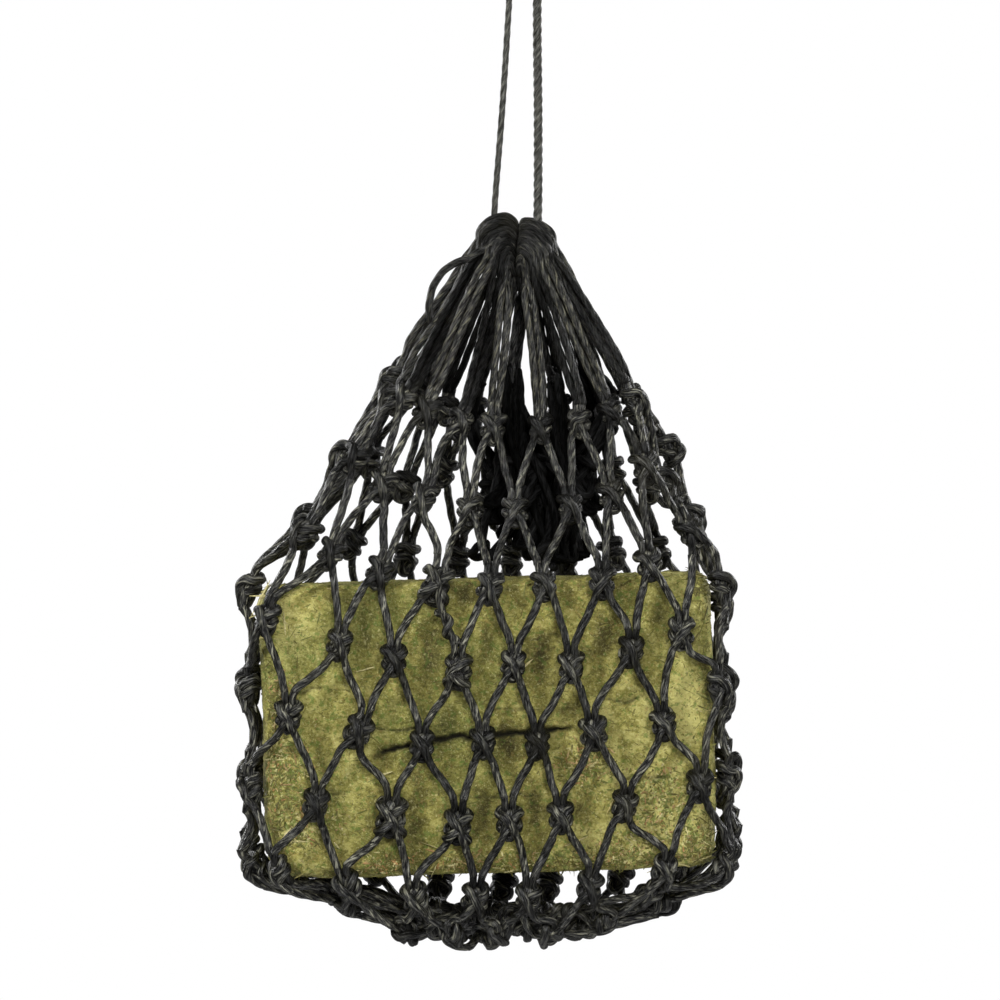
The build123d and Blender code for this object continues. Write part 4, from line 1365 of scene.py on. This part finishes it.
def tangents(normals, low, high):
    """Random directions along the surface, lifted off it by low to high."""
    flat = unit(np.cross(normals, rng.normal(size=normals.shape)))
    return unit(flat + normals * rng.uniform(low, high, len(normals))[:, None])


# loose stalks along the edges and worn corners
count = 2300
edge = rng.choice(12, count)
along = rng.uniform(-1, 1, count)
box = np.zeros((count, 3))
for i, (axis, end_a, end_b) in enumerate(np.ndindex(3, 2, 2)):
    on_edge = edge == i
    a, b = [other for other in range(3) if other != axis]
    box[on_edge, axis] = along[on_edge] * HAY_HALF[axis]
    box[on_edge, a] = (2 * end_a - 1) * HAY_HALF[a] * rng.uniform(0.93, 1.0, on_edge.sum())
    box[on_edge, b] = (2 * end_b - 1) * HAY_HALF[b]
# more of them low down and at the ends
chance = (0.25 + 0.75 * (box[:, 2] < -HALF_H * 0.6)
          + 0.4 * (np.abs(box[:, 0]) > HALF_W * 0.85))
box = box[rng.uniform(size=count) < chance]
count = len(box)
points, normals, _ = hay_surface(box)
headings = tangents(normals, -0.12, 0.28)
length = rng.gamma(3.0, 2.1, count).clip(3, 15)
tones = rng.beta(2.2, 2.2, count)
centres = points + normals * rng.uniform(-0.6, 0.6, count)[:, None]
stalks("hay_edge_stalks", 47, centres, headings, normals, length,
       width=rng.uniform(0.45, 1.1, count), tones=tones, bend=rng.normal(0, 1.4, count))

# crumbs: short bits lying every way where the block has worn
count = 5200
zone = CRUMBS[rng.integers(0, len(CRUMBS), count)]
off = rng.normal(0, 0.62, (count, 2)) * zone[:, 2:4]
back = rng.uniform(size=count) < 0.3
box = net_to_hay(np.stack([zone[:, 0] + off[:, 0], np.zeros(count), zone[:, 1] + off[:, 1]], -1))
box = np.where(back[:, None], (box - BACK_SHIFT) * [-1.0, 1, 1], box)
box[:, 1] = np.where(back, HALF_D, -HALF_D)
box = box[(np.abs(box[:, 0]) < HALF_W * 1.04) & (box[:, 2] > -HALF_H * 1.06)
          & (box[:, 2] < HALF_H)]
box = np.clip(box, -HAY_HALF, HAY_HALF)
count = len(box)
points, normals, _ = hay_surface(box)
headings = tangents(normals, -0.3, 0.5)
kind = rng.uniform(size=count)
# green, ochre, pale and dull bits
tones = np.select([kind < 0.30, kind < 0.46, kind < 0.66, kind >= 0.66],
                  [rng.uniform(low, high, count) for low, high in
                   ((0.54, 0.68), (0.97, 1.0), (0.74, 0.92), (0.2, 0.5))])
stalks("hay_crumbs", 59, points + normals * rng.uniform(-0.3, 0.5, count)[:, None], headings,
       normals, length=rng.gamma(3.0, 0.8, count).clip(1.0, 6.0),
       width=rng.uniform(0.5, 1.25, count), tones=tones, bend=rng.normal(0, 0.6, count))

# a few pale wisps that stand proud: centre, direction, length, tone
WISPS = [
    ((-111, -36, 66), (0.5, -0.1, 0.85), 22, 0.92), ((-108, -38, 60), (0.9, -0.05, 0.4), 18, 0.9),
    ((-106, -40, 68), (1.0, -0.05, -0.1), 20, 0.88), ((-97, -41.5, 52), (0.6, 0, -0.8), 14, 0.93),
    ((-99, -41.5, 54), (0.2, 0, -1.0), 12, 0.9), ((-101, -41.5, -50), (0.7, 0, 0.7), 16, 0.93),
    ((-98, -41.5, -54), (1.0, 0, -0.2), 13, 0.9), ((88, -38, -70), (1.0, -0.2, -0.4), 20, 0.86),
    ((84, -36, -72), (0.9, -0.1, 0.2), 16, 0.9), ((20, -42, 30), (0.8, 0, 0.6), 9, 0.93),
    ((-52, -42, -22), (0.9, 0, 0.3), 9, 0.9), ((60, -42, -40), (0.5, 0, 0.8), 11, 0.95),
    ((42, -42, -58), (1, 0, 0.3), 12, 0.94), ((-30, -42, -58), (1, 0, -0.4), 11, 0.93),
    ((96, -40, 30), (0.3, 0, 1), 12, 0.9), ((100, -38, -20), (0.6, -0.1, 0.8), 13, 0.97),
    ((-60, -42, 30), (1, 0, 0.2), 10, 0.9)]
centres, headings, length, tones = (np.array(column, float) for column in zip(*WISPS))
stalks("hay_wisps", 53, centres, headings, np.tile([0, -1.0, 0.1], (len(WISPS), 1)), length,
       width=np.ones(len(WISPS)), tones=tones, bend=np.full(len(WISPS), 1.2))

# ------------------------------------------------------------ floor and world (metres)
# both look plain white to the camera, and light the net more softly
WHITE = (1, 1, 1, 1)
FLOOR_Z, FLOOR_HALF = -1.05, 30.0
m = Shader("pale_floor")
is_camera = m.node("LightPath").outputs["Is Camera Ray"]
diffuse = m.node("BsdfDiffuse", {0: (0.51, 0.51, 0.51, 1)})
glow = m.node("Emission", {0: WHITE, 1: 1.0})
floor_mix = m.node("MixShader", {0: is_camera, 1: diffuse.outputs[0], 2: glow.outputs[0]})
mesh = bpy.data.meshes.new("floor")
mesh.from_pydata([(x * FLOOR_HALF, y * FLOOR_HALF, FLOOR_Z)
                  for x, y in ((-1, -1), (1, -1), (1, 1), (-1, 1))], [], [(0, 1, 2, 3)])
floor = add_object("floor", mesh)
mesh.materials.append(m.finish(floor_mix))

world = bpy.data.worlds.new("studio")
scene.world = world
world.use_nodes = True
nodes, links = world.node_tree.nodes, world.node_tree.links
nodes.clear()
output = nodes.new("ShaderNodeOutputWorld")
world_mix = nodes.new("ShaderNodeMixShader")
light_path = nodes.new("ShaderNodeLightPath")
links.new(light_path.outputs["Is Camera Ray"], world_mix.inputs[0])
for i, strength in ((1, 0.13), (2, 1.0)):       # as a light, as seen by the camera
    background = nodes.new("ShaderNodeBackground")
    background.inputs[0].default_value = WHITE
    background.inputs[1].default_value = strength
    links.new(background.outputs[0], world_mix.inputs[i])
links.new(world_mix.outputs[0], output.inputs[0])

# ------------------------------------------------------------ lights
# name, place (m), width and height (m), power (W); all face the middle of the net
LIGHTS = (
    ("key", (-1.9, -1.7, 0.9), (0.55, 0.55), 62),
    ("front", (0.30, -2.6, 0.45), (0.35, 0.6), 40),
    ("fill", (1.9, -1.3, 0.1), (0.7, 0.9), 22),
    ("top", (0.1, -0.2, 1.6), (1.0, 1.0), 16),
    ("back_left", (-1.6, 1.9, 0.4), (0.7, 0.7), 34),
    ("back_right", (1.6, 1.7, 0.3), (0.7, 0.7), 28))
target = Vector(hang([-14, 0, 60]))
for name, place, size, power in LIGHTS:
    light = bpy.data.lights.new(name, "AREA")
    light.shape = "RECTANGLE"
    light.size, light.size_y = size
    light.energy = power
    ob = add_object(name, light)
    ob.location = place
    ob.rotation_euler = (target - Vector(place)).to_track_quat("-Z", "Y").to_euler()

# ------------------------------------------------------------ camera
VIEW_WIDTH = 500.0      # mm seen across the picture at y = 0
camera = bpy.data.cameras.new("camera")
camera.sensor_width = 36.0
camera.lens = 270.0
camera.clip_end = 100
distance = VIEW_WIDTH * camera.lens / camera.sensor_width
ob = add_object("camera", camera)
# columns: right, up, backwards, place; the camera leans with the net
pose = np.eye(4)
pose[:3, 0] = tilt([1, 0, 0], HANG_TILT)
pose[:3, 1] = tilt([0, 0, 1], HANG_TILT)
pose[:3, 2] = [0, -1, 0]
pose[:3, 3] = hang([-8.5, -distance, 110.0])
ob.matrix_world = Matrix(pose.tolist())
scene.camera = ob
scene.view_settings.view_transform = "Standard"
scene.view_settings.look = "None"
